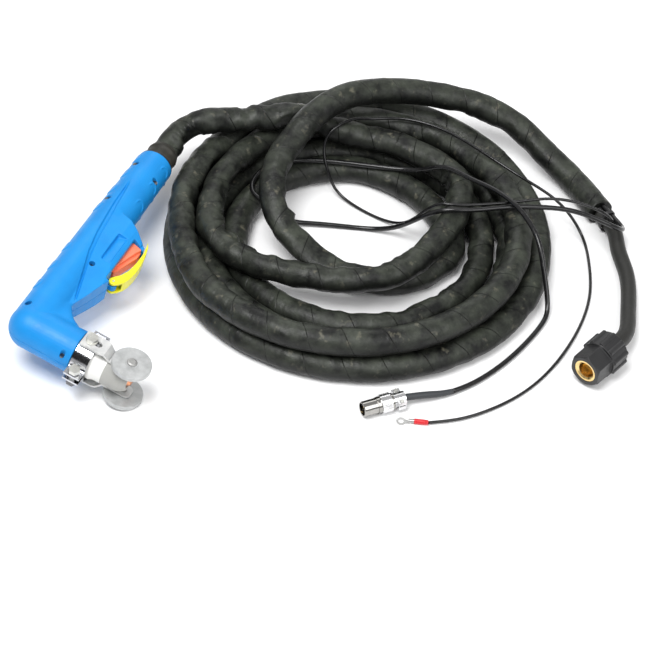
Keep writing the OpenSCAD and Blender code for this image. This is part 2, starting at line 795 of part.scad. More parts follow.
module electrode_holder() {
  color([0.83, 0.63, 0.27]) torch_place() on_head() difference() {
    translate([0, 0, stem_start + 2]) cylinder(r = holder_radius, h = electrode_seat - stem_start - 2);
    translate([0, 0, stem_start + 1]) cylinder(r = 2.5, h = beyond);
  }
}

module electrode() {
  color([0.78, 0.45, 0.3]) torch_place() on_head() difference() {
    rotate_extrude() polygon([
      [0, electrode_seat], [electrode_radius, electrode_seat], [electrode_radius, electrode_end - 3],
      [electrode_radius - 1.8, electrode_end], [0, electrode_end]
    ]);
    translate([0, 0, electrode_seat - 1]) cylinder(r = 2, h = 12);
  }
}

module swirl_ring() {
  color([0.62, 0.4, 0.25]) torch_place() on_head() difference() {
    translate([0, 0, swirl_start]) cylinder(r = swirl_radius, h = swirl_end - swirl_start);
    translate([0, 0, swirl_start - 1]) cylinder(r = electrode_radius + 0.2, h = swirl_end);
    for (i = [0:5])
      rotate([0, 0, 60 * i + 30]) translate([0, 0, swirl_end - 3]) rotate([0, 90, 0])
        cylinder(r = 0.8, h = beyond, $fn = 24);
  }
}

module nozzle() {
  color([0.8, 0.47, 0.3]) torch_place() on_head() rotate_extrude() polygon([
    [electrode_radius + 0.6, flange_start], [flange_radius, flange_start], [flange_radius, flange_end],
    [7.6, flange_end], [7.4, nozzle_shoulder], [nozzle_tip_radius, nozzle_end],
    [orifice_radius, nozzle_end], [orifice_radius, flange_end + 4.5],
    [electrode_radius + 0.6, flange_end + 1.5]
  ]);
}

module retaining_cap() {
  color([0.93, 0.93, 0.91]) torch_place() on_head() rotate_extrude() polygon([
    [nose_radius + 0.2, cap_start], [cap_radius, cap_start], [cap_radius, 70], [shield_radius + 0.2, 74],
    [shield_radius, 76], [shield_radius, cap_end], [nose_radius + 0.2, cap_end]
  ]);
}

module shield_cap() {
  color([0.62, 0.62, 0.6]) torch_place() on_head() rotate_extrude() polygon([
    [nose_front_radius + 0.2, nose_step + 0.4], [nose_radius, nose_step + 0.4], [nose_radius, shield_start],
    [shield_radius, shield_start], [shield_radius, 95], [shield_radius - 1, 99.5],
    [shield_opening + 3, shield_end], [shield_opening, shield_end],
    [shield_opening, flange_end + 0.1], [swirl_radius + 0.2, flange_end + 0.1],
    [swirl_radius + 0.2, nose_end + 0.1], [nose_front_radius + 0.2, nose_end + 0.1]
  ]);
}

// ---- roller guide ----

// Half of the clamp band above the split, with its hole for the arm bolt
module band_half() {
  difference() {
    intersection() {
      translate([0, 0, band_start]) difference() {
        cylinder(r = band_outer, h = band_width);
        translate([0, 0, -1]) cylinder(r = band_inner, h = band_width + 2);
      }
      translate([0.5, -50, 0]) cube([50, 100, 100]);
    }
    translate([0, 0, bolt_station]) rotate([0, 90, 0]) cylinder(r = bolt_radius + seat_gap, h = beyond);
  }
}

// Clamp ear on the side away from the handle, drilled for the pinch bolt
module pinch_ear() {
  difference() {
    translate([2.5, band_inner + 0.2, band_start]) cube([2, ear_end - band_inner - 0.2, band_width]);
    translate([0, pinch_offset, pinch_station]) rotate([0, 90, 0])
      cylinder(r = bolt_radius + seat_gap, h = beyond);
  }
}

module clamp_band_upper() {
  color([0.8, 0.81, 0.82]) torch_place() on_head() {
    band_half();
    pinch_ear();
    difference() {
      translate([0.5, -hook_end, band_start]) cube([2, hook_end + 0.1 - band_inner, band_width]);
      translate([-1, 2.1 - hook_end, band_start + 2]) cube([5, 3.4, band_width - 4]);
    }
  }
}

module clamp_band_lower() {
  color([0.8, 0.81, 0.82]) torch_place() on_head() {
    lower_side() {
      band_half();
      pinch_ear();
      translate([0.5, -hook_end, band_start]) cube([2, hook_end + 0.1 - band_inner, band_width]);
    }
    translate([-1, 3 - hook_end, band_start + 3]) cube([6.5, 1.6, band_width - 6]);
  }
}

// Hexagon head or nut with its flats square to Y
module hex_piece(flats, height) {
  cylinder(r = flats / 2 / cos(30), h = height, $fn = 6);
}

module pinch_bolt() {
  color([0.72, 0.73, 0.75]) torch_place() on_head()
    translate([0, pinch_offset, pinch_station]) rotate([0, 90, 0]) {
      translate([0, 0, -12]) cylinder(r = bolt_radius, h = 12 + 4.5 + washer_thickness);
      translate([0, 0, 4.5 + washer_thickness]) hex_piece(bolt_flats, bolt_head_height);
    }
}

module pinch_nut() {
  color([0.3, 0.3, 0.32]) torch_place() on_head()
    translate([0, pinch_offset, pinch_station]) rotate([0, 90, 0]) {
      difference() {
        translate([0, 0, 4.5]) cylinder(r = 5.2, h = washer_thickness);
        cylinder(r = bolt_radius + seat_gap, h = 10);
      }
      difference() {
        translate([0, 0, -9.5]) hex_piece(bolt_flats, 5);
        translate([0, 0, -10]) cylinder(r = bolt_radius + push_fit, h = 10);
      }
    }
}

// Bolt, washer and head of one arm, on the upper side
module arm_bolt() {
  translate([0, 0, bolt_station]) rotate([0, 90, 0]) {
    translate([0, 0, head_radius - 1.2])
      cylinder(r = bolt_radius, h = arm_outside + washer_thickness - head_radius + 1.3);
    translate([0, 0, arm_outside + 0.1]) cylinder(r = 5.8, h = washer_thickness);
    translate([0, 0, arm_outside + 0.1 + washer_thickness]) hex_piece(bolt_flats, bolt_head_height);
  }
}

module arm_bolts() {
  color([0.72, 0.73, 0.75]) torch_place() on_head() {
    arm_bolt();
    lower_side() arm_bolt();
  }
}

// Guide arm on the upper side: slotted plate, joggle and axle end
module guide_arm() {
  difference() {
    intersection() {
      rotate([90, 0, 0]) translate([0, 0, -beyond]) linear_extrude(2 * beyond) polygon([
        [arm_inside, 52], [arm_outside, 52], [arm_outside, 77.4], [arm_end_outside, 83.4],
        [arm_end_outside, 111], [arm_end_inside, 111], [arm_end_inside, 82.6], [arm_inside, 76.6]
      ]);
      rotate([90, 0, 90]) linear_extrude(beyond) polygon([
        [-arm_width / 2, 53], [-arm_width / 2 + 1, 52], [arm_width / 2 - 1, 52], [arm_width / 2, 53],
        [arm_width / 2, 73], [7, 82], [7, 108], [4, 111], [-4, 111], [-7, 108], [-7, 82], [-arm_width / 2, 73]
      ]);
    }
    arm_slot();
    translate([0, 0, wheel_distance]) rotate([0, 90, 0]) cylinder(r = axle_radius + push_fit, h = beyond);
  }
}

// Long slot for the arm bolt
module arm_slot() {
  for (z = [slot_start + bolt_radius + 0.2, slot_end - bolt_radius - 0.2])
    translate([0, 0, z]) rotate([0, 90, 0]) cylinder(r = bolt_radius + 0.2, h = beyond);
  translate([0, -bolt_radius - 0.2, slot_start + bolt_radius + 0.2])
    cube([beyond, 2 * bolt_radius + 0.4, slot_end - slot_start - 2 * bolt_radius - 0.4]);
}

// Axle with a domed head outside the wheel and a spacer against the arm
module wheel_axle() {
  translate([0, 0, wheel_distance]) rotate([0, 90, 0]) {
    translate([0, 0, arm_end_inside])
      cylinder(r = axle_radius, h = wheel_outside + hub_height + 0.4 - arm_end_inside);
    translate([0, 0, arm_end_outside]) cylinder(r = 5, h = 0.4);
    translate([0, 0, wheel_outside + hub_height + 0.3]) rotate_extrude() polygon([
      [0, 0], [axle_head_radius, 0], [axle_head_radius - 0.5, axle_head_height * 0.6],
      [axle_head_radius - 2, axle_head_height], [0, axle_head_height]
    ]);
  }
}

// Wheel with a raised hub ring and chamfered rim
module guide_wheel() {
  translate([wheel_inside, 0, wheel_distance]) rotate([0, 90, 0]) rotate_extrude() polygon([
    [axle_radius + run_fit, 0], [wheel_radius - wheel_chamfer, 0], [wheel_radius, wheel_chamfer],
    [wheel_radius, wheel_thickness - wheel_chamfer], [wheel_radius - wheel_chamfer, wheel_thickness],
    [hub_radius, wheel_thickness], [hub_radius - 0.3, wheel_thickness + hub_height],
    [axle_radius + run_fit, wheel_thickness + hub_height]
  ]);
}

module guide_arm_upper() {
  color([0.78, 0.79, 0.8]) torch_place() on_head() guide_arm();
}

module guide_arm_lower() {
  color([0.78, 0.79, 0.8]) torch_place() on_head() lower_side() guide_arm();
}

module wheel_axle_upper() {
  color([0.75, 0.76, 0.78]) torch_place() on_head() wheel_axle();
}

module wheel_axle_lower() {
  color([0.75, 0.76, 0.78]) torch_place() on_head() lower_side() wheel_axle();
}

module guide_wheel_upper() {
  color([0.8, 0.8, 0.81]) torch_place() on_head() guide_wheel();
}

module guide_wheel_lower() {
  color([0.8, 0.8, 0.81]) torch_place() on_head() lower_side() guide_wheel();
}

// ---- sleeved lead, hose and wires ----

module lead_in() {
  color([0.1, 0.1, 0.09])
    tube(lead_in_route, sleeve_radius, 12, [1, 0, 0], coil_way(0));
}

module lead_coil() {
  color([0.1, 0.1, 0.09])
    tube(coil_points, coil_hex, 6, coil_way(0), coil_way(coil_sweep));
}

module lead_last_loop() {
  color([0.1, 0.1, 0.09])
    tube(last_loop_route, sleeve_radius, 12, coil_way(coil_sweep), loop_way);
}

module power_hose() {
  color([0.05, 0.05, 0.05])
    tube(hose_route_full(), hose_radius, 12, loop_way, connector_way());
}

function connector_way() = [cos(connector_turn), sin(connector_turn), 0];
function hose_route_full() = concat(hose_route, [connector_front - (nut_length + 2) * connector_way()]);

module control_cable() {
  color([0.05, 0.05, 0.05])
    tube(cable_route, cable_radius, 8, loop_way, cable_last_way);
}

module pilot_lead() {
  color([0.06, 0.06, 0.06])
    tube(concat(pilot_route, [pilot_stop]), pilot_radius, 8, loop_way, -terminal_way);
}

terminal_way = [cos(terminal_turn), sin(terminal_turn), 0];
pilot_stop = terminal_at + [0, 0, terminal_axis] + (terminal_reach + terminal_sleeve_length) * terminal_way;

// Outline around the hose and the two wires above it, grown evenly
module bundle_outline(grow) {
  side = [2.6, 11.1];
  big = hose_radius + grow;
  small = cable_radius + grow;
  lean = atan2(side.y, side.x) - 90 + asin((big - small) / norm(side));
  low = (big - 0.02) * [cos(lean), sin(lean)];
  high = side + (small - 0.02) * [cos(lean), sin(lean)];
  circle(r = big);
  for (s = [-1, 1]) translate([s * side.x, side.y]) circle(r = small);
  polygon([
    low, high, [side.x, side.y + small - 0.02], [-side.x, side.y + small - 0.02], [-high.x, high.y], [-low.x, low.y]
  ]);
}

module cable_tie() {
  color([0.08, 0.08, 0.08])
    translate(hose_start + tie_station * loop_way) rotate([90, 0, atan2(loop_way.y, loop_way.x) + 90])
      linear_extrude(tie_width, center = true) difference() {
        bundle_outline(1.4);
        bundle_outline(0.3);
      }
}

// ---- power connector ----

// Axis along +Z, the front face of the nut at the origin
module connector_place() {
  translate(connector_front) rotate([0, 90, connector_turn]) children();
}

module connector_nut() {
  color([0.07, 0.07, 0.075]) connector_place() difference() {
    union() {
      translate([0, 0, -nut_hex_length]) intersection() {
        cylinder(r = nut_hex_radius, h = nut_hex_length, $fn = 6);
        rotate_extrude() polygon([
          [0, 0], [nut_hex_radius, 0], [nut_hex_radius, nut_hex_length - 2],
          [nut_hex_radius - 2.2, nut_hex_length], [0, nut_hex_length]
        ]);
      }
      translate([0, 0, -nut_length]) cylinder(r = nut_rib_radius - 2, h = nut_length - nut_hex_length);
      for (i = [0:rib_count - 1])
        rotate([0, 0, 360 * i / rib_count]) translate([nut_rib_radius - rib_radius, 0, -nut_length + 1])
          cylinder(r = rib_radius, h = nut_length - nut_hex_length - 2, $fn = 32);
    }
    translate([0, 0, -insert_length - 0.2]) cylinder(r = insert_radius + push_fit, h = insert_length + 2);
    translate([0, 0, -nut_length - 1]) cylinder(r = nipple_radius + run_fit, h = nut_length);
    translate([0, 0, -nut_length - 1]) cylinder(r = hose_radius + 1.2, h = nut_length - nut_wall_rear + 1);
  }
}

module connector_insert() {
  color([0.85, 0.64, 0.3]) connector_place() rotate_extrude() polygon([
    [thread_radius + 1.4, -insert_length], [insert_radius, -insert_length], [insert_radius, -0.6],
    [thread_radius + 1.6, -0.6], [thread_radius, -2], [thread_radius, -2 - thread_length],
    [thread_radius + 1.4, -2.6 - thread_length]
  ]);
}

module connector_nipple() {
  color([0.82, 0.6, 0.27]) connector_place() rotate_extrude() polygon([
    [nipple_bore, -nut_length - 2], [nipple_radius, -nut_length - 2], [nipple_radius, -insert_length],
    [nipple_head + 0.6, -insert_length], [nipple_head + 0.6, -16.6], [nipple_head - 1, -15],
    [nipple_bore + 0.8, -14.8], [nipple_bore, -15.6]
  ]);
}

module connector_seal() {
  color([0.1, 0.1, 0.1]) connector_place() translate([0, 0, -nut_length + 12])
    rotate_extrude() translate([nipple_radius + 1.2, 0]) circle(r = 1.1, $fn = 32);
}

// ---- control plug ----

module plug_place() {
  translate(plug_front) rotate([0, 90, plug_turn]) children();
}

module plug_shell() {
  color([0.32, 0.32, 0.34]) plug_place() rotate_extrude() polygon([
    [boot_radius + 0.2, -shell_length], [shell_radius, -shell_length], [shell_radius, -barrel_length],
    [plug_radius, -barrel_length], [plug_radius, -0.5], [plug_radius - 0.5, 0], [plug_radius - 1.2, 0],
    [plug_radius - 1.2, -barrel_length], [boot_radius + 0.2, -barrel_length]
  ]);
}

module plug_coupling_ring() {
  color([0.8, 0.8, 0.81]) plug_place() difference() {
    translate([0, 0, -ring_from]) cylinder(r = ring_radius, h = ring_from - ring_to);
    translate([0, 0, -beyond]) cylinder(r = shell_radius + run_fit, h = beyond);
    for (i = [0:11])
      rotate([0, 0, 30 * i]) translate([ring_radius + 0.35, 0, -ring_from - 1])
        cylinder(r = 0.7, h = ring_from - ring_to + 2, $fn = 24);
  }
}

module plug_insert() {
  color([0.08, 0.08, 0.08]) plug_place() difference() {
    translate([0, 0, -barrel_length]) cylinder(r = plug_radius - 1.3, h = 8);
    for (side = [-1, 1])
      translate([0, side * 2.6, -barrel_length - 1]) cylinder(r = 1 + push_fit, h = 20, $fn = 32);
  }
}

module plug_pins() {
  color([0.85, 0.68, 0.32]) plug_place() for (side = [-1, 1])
    translate([0, side * 2.6, -barrel_length + 0.1]) cylinder(r = 1, h = barrel_length - 2.5, $fn = 32);
}

module plug_clamp() {
  color([0.78, 0.78, 0.79]) plug_place() difference() {
    union() {
      translate([0, 0, -plug_length]) cylinder(r = clamp_radius, h = plug_length - shell_length);
      for (side = [-1, 1])
        translate([0, side * clamp_screw_side, -plug_length + 5.5])
          cube([2 * clamp_lug, 4.6, 8], center = true);
    }
    translate([0, 0, -plug_length - 1]) cylinder(r = boot_radius + 0.2, h = plug_length);
    translate([-0.6, -beyond, -plug_length - 1]) cube([1.2, 2 * beyond, 9.6]);
    for (side = [-1, 1])
      translate([-beyond, side * clamp_screw_side, -plug_length + 5.5]) rotate([0, 90, 0])
        cylinder(r = 1 + push_fit, h = 2 * beyond, $fn = 32);
  }
}

module plug_clamp_screws() {
  color([0.7, 0.71, 0.73]) plug_place() for (side = [-1, 1])
    translate([0, side * clamp_screw_side, -plug_length + 5.5]) rotate([0, -90, 0]) {
      translate([0, 0, -clamp_lug + 0.2]) cylinder(r = 1, h = 2 * clamp_lug - 0.1, $fn = 32);
      translate([0, 0, clamp_lug]) cylinder(r = 1.9, h = 1.2, $fn = 32);
    }
}

function plug_way() = [cos(plug_turn), sin(plug_turn), 0];
boot_stop = plug_front - (shell_length - 6) * plug_way();
boot_route = [
  cable_route[len(cable_route) - 1], [8, -312.6, 5.4], [-3, -300.2, 7.8], [-11, -290.6, 8.9],
  plug_front - (plug_length + 1) * plug_way(), boot_stop
];

module plug_boot() {
  color([0.3, 0.31, 0.32])
    tube(boot_route, boot_radius, 8, cable_last_way, plug_way());
}

// ---- ring terminal ----

module terminal_place() {
  translate(terminal_at) rotate([0, 0, terminal_turn]) children();
}

module ring_terminal() {
  color([0.82, 0.82, 0.83]) terminal_place() difference() {
    union() {
      translate([0, 0, terminal_axis - 2]) cylinder(r = eye_radius, h = eye_thickness);
      translate([0, -2, terminal_axis - 2]) cube([8, 4, eye_thickness]);
      translate([6.5, 0, terminal_axis]) rotate([0, 90, 0]) cylinder(r = 2, h = terminal_reach - 6.5);
    }
    translate([0, 0, -1]) cylinder(r = eye_hole, h = 10);
  }
}

module terminal_sleeve() {
  color([0.85, 0.12, 0.14]) terminal_place() translate([terminal_reach, 0, terminal_axis]) rotate([0, 90, 0])
    rotate_extrude() polygon([
      [0, 0], [2.6, 0], [2.6, terminal_sleeve_length - 4], [2.2, terminal_sleeve_length],
      [0, terminal_sleeve_length]
    ]);
}

// ---- output ----

handle_shell_upper();
handle_shell_lower();
handle_screws();
trigger();
trigger_pin();
trigger_spring();
safety_cover();
cover_pin();
cover_spring();
microswitch();
microswitch_plunger();
switch_wires();
handle_collar();
sleeve_cuff();
power_gas_tube();
head_body();
electrode_holder();
electrode();
swirl_ring();
nozzle();
retaining_cap();
shield_cap();
clamp_band_upper();
clamp_band_lower();
pinch_bolt();
pinch_nut();
arm_bolts();
guide_arm_upper();
guide_arm_lower();
wheel_axle_upper();
wheel_axle_lower();
guide_wheel_upper();
guide_wheel_lower();
lead_in();
lead_coil();
lead_last_loop();
power_hose();
control_cable();
pilot_lead();
cable_tie();
connector_nut();
connector_insert();
connector_nipple();
connector_seal();
plug_shell();
plug_coupling_ring();
plug_insert();
plug_pins();
plug_clamp();
plug_clamp_screws();
plug_boot();
ring_terminal();
terminal_sleeve();
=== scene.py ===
"""Hand-held plasma cutting torch with a roller guide and a coiled, sleeved lead.

Metres, +Z up. The handle lies along +X and the head points to -Y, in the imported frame's own axes.
"""

import json
import math

import bmesh
import bpy
import numpy as np
from mathutils import Matrix, Vector, noise


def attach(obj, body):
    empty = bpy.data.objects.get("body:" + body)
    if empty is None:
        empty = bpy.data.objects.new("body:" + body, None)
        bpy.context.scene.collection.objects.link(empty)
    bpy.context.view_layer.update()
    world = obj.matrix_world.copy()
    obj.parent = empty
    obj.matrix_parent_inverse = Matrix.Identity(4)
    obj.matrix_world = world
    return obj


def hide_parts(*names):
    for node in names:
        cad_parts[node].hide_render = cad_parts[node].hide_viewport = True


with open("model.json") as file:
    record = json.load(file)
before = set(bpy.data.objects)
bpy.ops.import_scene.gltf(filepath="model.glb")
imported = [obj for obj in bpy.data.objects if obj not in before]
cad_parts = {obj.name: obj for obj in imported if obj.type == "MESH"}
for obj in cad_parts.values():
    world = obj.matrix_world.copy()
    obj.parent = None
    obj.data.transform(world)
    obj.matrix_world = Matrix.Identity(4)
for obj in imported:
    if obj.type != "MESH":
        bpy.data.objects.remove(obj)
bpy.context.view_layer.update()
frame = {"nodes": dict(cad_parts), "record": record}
MM = 0.001


# ---- camera ----

ELEVATION = math.radians(44)
CAMERA_ROLL = math.radians(4.5)
CAMERA_DISTANCE = 2.4
CAMERA_LENS, SENSOR_WIDTH = 136.9, 36
CLIP_START, CLIP_END = 0.1, 50
LOOK_AT = Vector((49.3, -175.6, 0)) * MM
PICTURE_RIGHT = Vector((0.3463, -0.9381, 0)).normalized()


def add_camera():
    """A long lens that looks down from the head's side and leans as the photograph's does."""
    level = Vector((0, 0, 1)).cross(PICTURE_RIGHT)
    back = -level * math.cos(ELEVATION) + Vector((0, 0, math.sin(ELEVATION)))
    upright = back.cross(PICTURE_RIGHT)
    right = PICTURE_RIGHT * math.cos(CAMERA_ROLL) + upright * math.sin(CAMERA_ROLL)
    up = back.cross(right)
    data = bpy.data.cameras.new("camera")
    data.lens = CAMERA_LENS
    data.sensor_width = SENSOR_WIDTH
    data.clip_start, data.clip_end = CLIP_START, CLIP_END
    camera = bpy.data.objects.new("camera", data)
    bpy.context.collection.objects.link(camera)
    turned = Matrix((right, up, back)).transposed().to_4x4()
    camera.matrix_world = Matrix.Translation(LOOK_AT + back * CAMERA_DISTANCE) @ turned
    bpy.context.scene.camera = camera


# ---- material nodes ----


def shader(name, color, roughness, metallic=0.0, **sockets):
    """A Principled material, with its node tree and its surface node."""
    material = bpy.data.materials.new(name)
    material.use_nodes = True
    tree = material.node_tree
    surface = tree.nodes["Principled BSDF"]
    surface.inputs["Base Color"].default_value = (*color, 1)
    surface.inputs["Roughness"].default_value = roughness
    surface.inputs["Metallic"].default_value = metallic
    for socket, value in sockets.items():
        surface.inputs[socket.replace("_", " ")].default_value = value
    return material, tree, surface


def feed(tree, socket, value):
    """Links a node's output into the socket, or sets a constant there."""
    if isinstance(value, bpy.types.NodeSocket):
        tree.links.new(value, socket)
    else:
        socket.default_value = value


def add(tree, kind, inputs=None, **settings):
    """A node with its settings and its constant or linked inputs."""
    node = tree.nodes.new(kind)
    for key, value in settings.items():
        setattr(node, key, value)
    for key, value in (inputs or {}).items():
        feed(tree, node.inputs[key], value)
    return node


def place(tree):
    """Position on the piece, in metres, the same from every side."""
    return add(tree, "ShaderNodeTexCoord").outputs["Object"]


def noise_at(tree, where, scale, detail=3.0, rough=0.5, stretch=(1, 1, 1)):
    """Smooth noise at a place, with so many features per metre as scale says."""
    moved = add(tree, "ShaderNodeMapping", {"Vector": where, "Scale": stretch}).outputs[0]
    inputs = {"Vector": moved, "Scale": scale, "Detail": detail, "Roughness": rough}
    return add(tree, "ShaderNodeTexNoise", inputs).outputs["Fac"]


def bands(tree, at, scale, distortion, direction):
    """Wavy parallel bands, from 0 to 1."""
    inputs = {"Vector": at, "Scale": scale, "Distortion": distortion, "Detail": 1.0}
    wave = add(tree, "ShaderNodeTexWave", inputs, wave_type="BANDS", bands_direction=direction)
    return wave.outputs["Fac"]


def spread(tree, value, low, high, to_low, to_high):
    """Value from low..high to to_low..to_high, held at both ends."""
    inputs = {
        "Value": value, "From Min": low, "From Max": high, "To Min": to_low, "To Max": to_high,
    }
    return add(tree, "ShaderNodeMapRange", inputs).outputs["Result"]


def mask(tree, value, low=0.3, high=0.7, most=1.0):
    """0 where the value is low, and most where it is high."""
    return spread(tree, value, low, high, 0.0, most)


def blend_colors(tree, factor, a, b):
    """Colour a where the factor is 0, and b where it is 1."""
    made = add(tree, "ShaderNodeMix", {0: factor}, data_type="RGBA")
    for number, color in ((6, a), (7, b)):
        feed(tree, made.inputs[number], (*color, 1) if isinstance(color, tuple) else color)
    return made.outputs[2]


def math_of(tree, operation, a, b=0.0):
    return add(tree, "ShaderNodeMath", {0: a, 1: b}, operation=operation).outputs[0]


def paint(tree, surface, factor, a, b):
    """Base colour a where the factor is 0, and b where it is 1."""
    tree.links.new(blend_colors(tree, factor, a, b), surface.inputs["Base Color"])


def gloss(tree, surface, value, low, high, smooth, rough):
    """Roughness from smooth to rough, as the value goes from low to high."""
    tree.links.new(spread(tree, value, low, high, smooth, rough), surface.inputs["Roughness"])


def bump(tree, surface, height, distance, strength=1.0):
    """Raises the surface by height times distance, on top of what is joined already."""
    inputs = {"Height": height, "Distance": distance, "Strength": strength}
    node = add(tree, "ShaderNodeBump", inputs)
    normal = surface.inputs["Normal"]
    if normal.is_linked:
        tree.links.new(normal.links[0].from_socket, node.inputs["Normal"])
    tree.links.new(node.outputs[0], normal)


# ---- materials ----


def moulded(name, color, shade, roughness, grain=0.05, coat=0.0, shine=0.5):
    """Moulded plastic: a faint colour drift, handling marks in the gloss, fine grain."""
    material, tree, surface = shader(
        name, color, roughness, Coat_Weight=coat, Coat_Roughness=0.12, Specular_IOR_Level=shine
    )
    at = place(tree)
    paint(tree, surface, mask(tree, noise_at(tree, at, 45, 2.0)), color, shade)
    marks = noise_at(tree, at, 160, 5.0, 0.6, (1, 1, 0.3))
    gloss(tree, surface, marks, 0.35, 0.75, roughness - 0.05, roughness + 0.1)
    bump(tree, surface, noise_at(tree, at, 2600, 2.0), grain * MM)
    bump(tree, surface, noise_at(tree, at, 110, 2.0), 0.12 * MM, 0.5)
    return material


METAL_WEAR, METAL_TARNISH = 0.06, 0.75


def metal(name, color, roughness, brush=(1, 1, 1)):
    """Worked metal: brushing or turning marks, smudges in the gloss, slight tarnish."""
    material, tree, surface = shader(name, color, roughness, 1.0)
    at = place(tree)
    smudge = noise_at(tree, at, 120, 4.0)
    dull = tuple(c * METAL_TARNISH for c in color)
    paint(tree, surface, mask(tree, smudge, 0.45, 0.8), color, dull)
    lines = noise_at(tree, at, 2200, 3.0, 0.6, brush)
    worn = spread(tree, smudge, 0.3, 0.8, roughness, roughness + METAL_WEAR)
    rough = math_of(tree, "ADD", worn, spread(tree, lines, 0.3, 0.7, -0.03, 0.05))
    tree.links.new(rough, surface.inputs["Roughness"])
    bump(tree, surface, lines, 0.012 * MM)
    return material


def frosted(name, color, pale):
    """Tumbled steel: an even, cloudy dull white with small pits."""
    material, tree, surface = shader(name, color, 0.5, 0.55)
    at = place(tree)
    cloud = noise_at(tree, at, 140, 4.0, 0.6)
    paint(tree, surface, mask(tree, cloud), color, pale)
    gloss(tree, surface, cloud, 0.3, 0.7, 0.42, 0.6)
    bump(tree, surface, noise_at(tree, at, 1800, 3.0, 0.6), 0.05 * MM)
    return material


FLECK_COLOR, DUST_COLOR = (0.165, 0.155, 0.115), (0.16, 0.155, 0.12)


def sleeve_material(name, color, worn, wrap_pitch):
    """Rubberised cloth wound around the lead: overlaps, weave, rubbed and dusty patches, shown only
    on upward faces as painted top light.
    """
    material, tree, surface = shader(name, color, 0.5, Specular_IOR_Level=0.3)
    at = place(tree)
    along = add(tree, "ShaderNodeUVMap", uv_map="along").outputs[0]
    split = add(tree, "ShaderNodeSeparateXYZ", {0: along})
    around, length = split.outputs[0], split.outputs[1]
    normal = add(tree, "ShaderNodeNewGeometry").outputs["Normal"]
    facing = add(tree, "ShaderNodeSeparateXYZ", {0: normal}).outputs[2]

    wander = spread(tree, noise_at(tree, at, 24, 1.0), 0.0, 1.0, -0.08, 0.08)
    turns = math_of(tree, "ADD", math_of(tree, "MULTIPLY", length, 1 / wrap_pitch), around)
    phase = math_of(tree, "FRACT", math_of(tree, "ADD", turns, wander))
    step = mask(tree, phase, 0.0, 0.03)

    rubbed = mask(tree, noise_at(tree, at, 42, 4.0, 0.65), 0.36, 0.66)
    # Painted top light: upward faces take the lighter worn colour, the flecks and the dust, so the
    # sleeve's top is painted lighter
    top = spread(tree, facing, -0.1, 0.9, 0.1, 1.0)
    base = blend_colors(tree, math_of(tree, "MULTIPLY", rubbed, top), color, worn)
    stretched = noise_at(tree, along, 1.0, 3.0, 0.65, (6.0, 75.0, 1.0))
    top_lit_fleck = math_of(tree, "MULTIPLY", mask(tree, stretched, 0.6, 0.74, 0.65), top)
    base = blend_colors(tree, top_lit_fleck, base, FLECK_COLOR)
    specks = mask(tree, noise_at(tree, at, 420, 2.0, 0.7), 0.7, 0.8, 0.5)
    base = blend_colors(tree, math_of(tree, "MULTIPLY", specks, top), base, DUST_COLOR)
    overlap = math_of(tree, "SUBTRACT", 1.0, step)
    paint(tree, surface, overlap, base, tuple(c * 0.2 for c in color))
    gloss(tree, surface, noise_at(tree, at, 60, 3.0), 0.35, 0.7, 0.34, 0.55)

    bump(tree, surface, bands(tree, at, 900.0, 2.0, "DIAGONAL"), 0.035 * MM, 0.6)
    bump(tree, surface, noise_at(tree, at, 330, 4.0, 0.65), 0.25 * MM, 0.7)
    bump(tree, surface, noise_at(tree, along, 1.0, 2.0, 0.5, (3.0, 75.0, 1.0)), 1.7 * MM, 0.8)
    bump(tree, surface, noise_at(tree, at, 90, 3.0, 0.55), 1.2 * MM, 0.7)
    bump(tree, surface, step, 0.6 * MM, 0.9)
    return material


def tape_material(name, color, worn):
    """Ribbed woven tape around the end of the sleeve."""
    material, tree, surface = shader(name, color, 0.55, Specular_IOR_Level=0.35)
    at = place(tree)
    paint(tree, surface, mask(tree, noise_at(tree, at, 70, 4.0, 0.6), 0.4, 0.7), color, worn)
    bump(tree, surface, bands(tree, at, 260.0, 0.6, "X"), 0.12 * MM, 0.8)
    bump(tree, surface, noise_at(tree, at, 1500, 3.0, 0.6), 0.08 * MM, 0.7)
    return material


def wire_material(name, color, roughness):
    """Extruded cable skin: soft gloss with faint draw lines and dust."""
    material, tree, surface = shader(name, color, roughness)
    at = place(tree)
    dust = noise_at(tree, at, 180, 4.0, 0.6)
    dusty = tuple(min(1, c * 2 + 0.02) for c in color)
    paint(tree, surface, mask(tree, dust, 0.55, 0.8, 0.5), color, dusty)
    gloss(tree, surface, dust, 0.3, 0.7, roughness - 0.05, roughness + 0.12)
    bump(tree, surface, noise_at(tree, at, 900, 3.0), 0.05 * MM, 0.7)
    return material


FLOOR_COLOR, FLOOR_SHADE = (0.97, 0.97, 0.97), (0.955, 0.955, 0.96)


def floor_material():
    """Pale, even studio floor with the faintest mottling."""
    material, tree, surface = shader("studio_floor", FLOOR_COLOR, 0.9)
    drift = noise_at(tree, place(tree), 3.0, 2.0)
    paint(tree, surface, mask(tree, drift), FLOOR_COLOR, FLOOR_SHADE)
    return material


# Millimetres from one overlap of the wound sleeve to the next
WRAP_PITCH = 38
BLUE, BLUE_SHADE = (0.01, 0.262, 0.68), (0.008, 0.232, 0.62)
YELLOW, YELLOW_SHADE = (0.82, 0.78, 0.01), (0.78, 0.72, 0.01)
ORANGE, ORANGE_SHADE = (0.97, 0.23, 0.12), (0.95, 0.2, 0.1)
RED, RED_SHADE = (0.62, 0.012, 0.02), (0.55, 0.01, 0.015)
WHITE, WHITE_SHADE = (0.84, 0.84, 0.82), (0.8, 0.8, 0.77)
BLACK, BLACK_SHADE = (0.013, 0.013, 0.014), (0.02, 0.02, 0.021)
BROWN, BROWN_SHADE = (0.2, 0.08, 0.03), (0.17, 0.07, 0.03)
CERAMIC, CERAMIC_SHADE = (0.42, 0.42, 0.4), (0.37, 0.37, 0.35)
# The sleeve's worn colour doubles as painted top light, since it shows only on upward faces
SLEEVE, SLEEVE_WORN_AND_TOP_LIT = (0.0045, 0.005, 0.0045), (0.046, 0.052, 0.04)
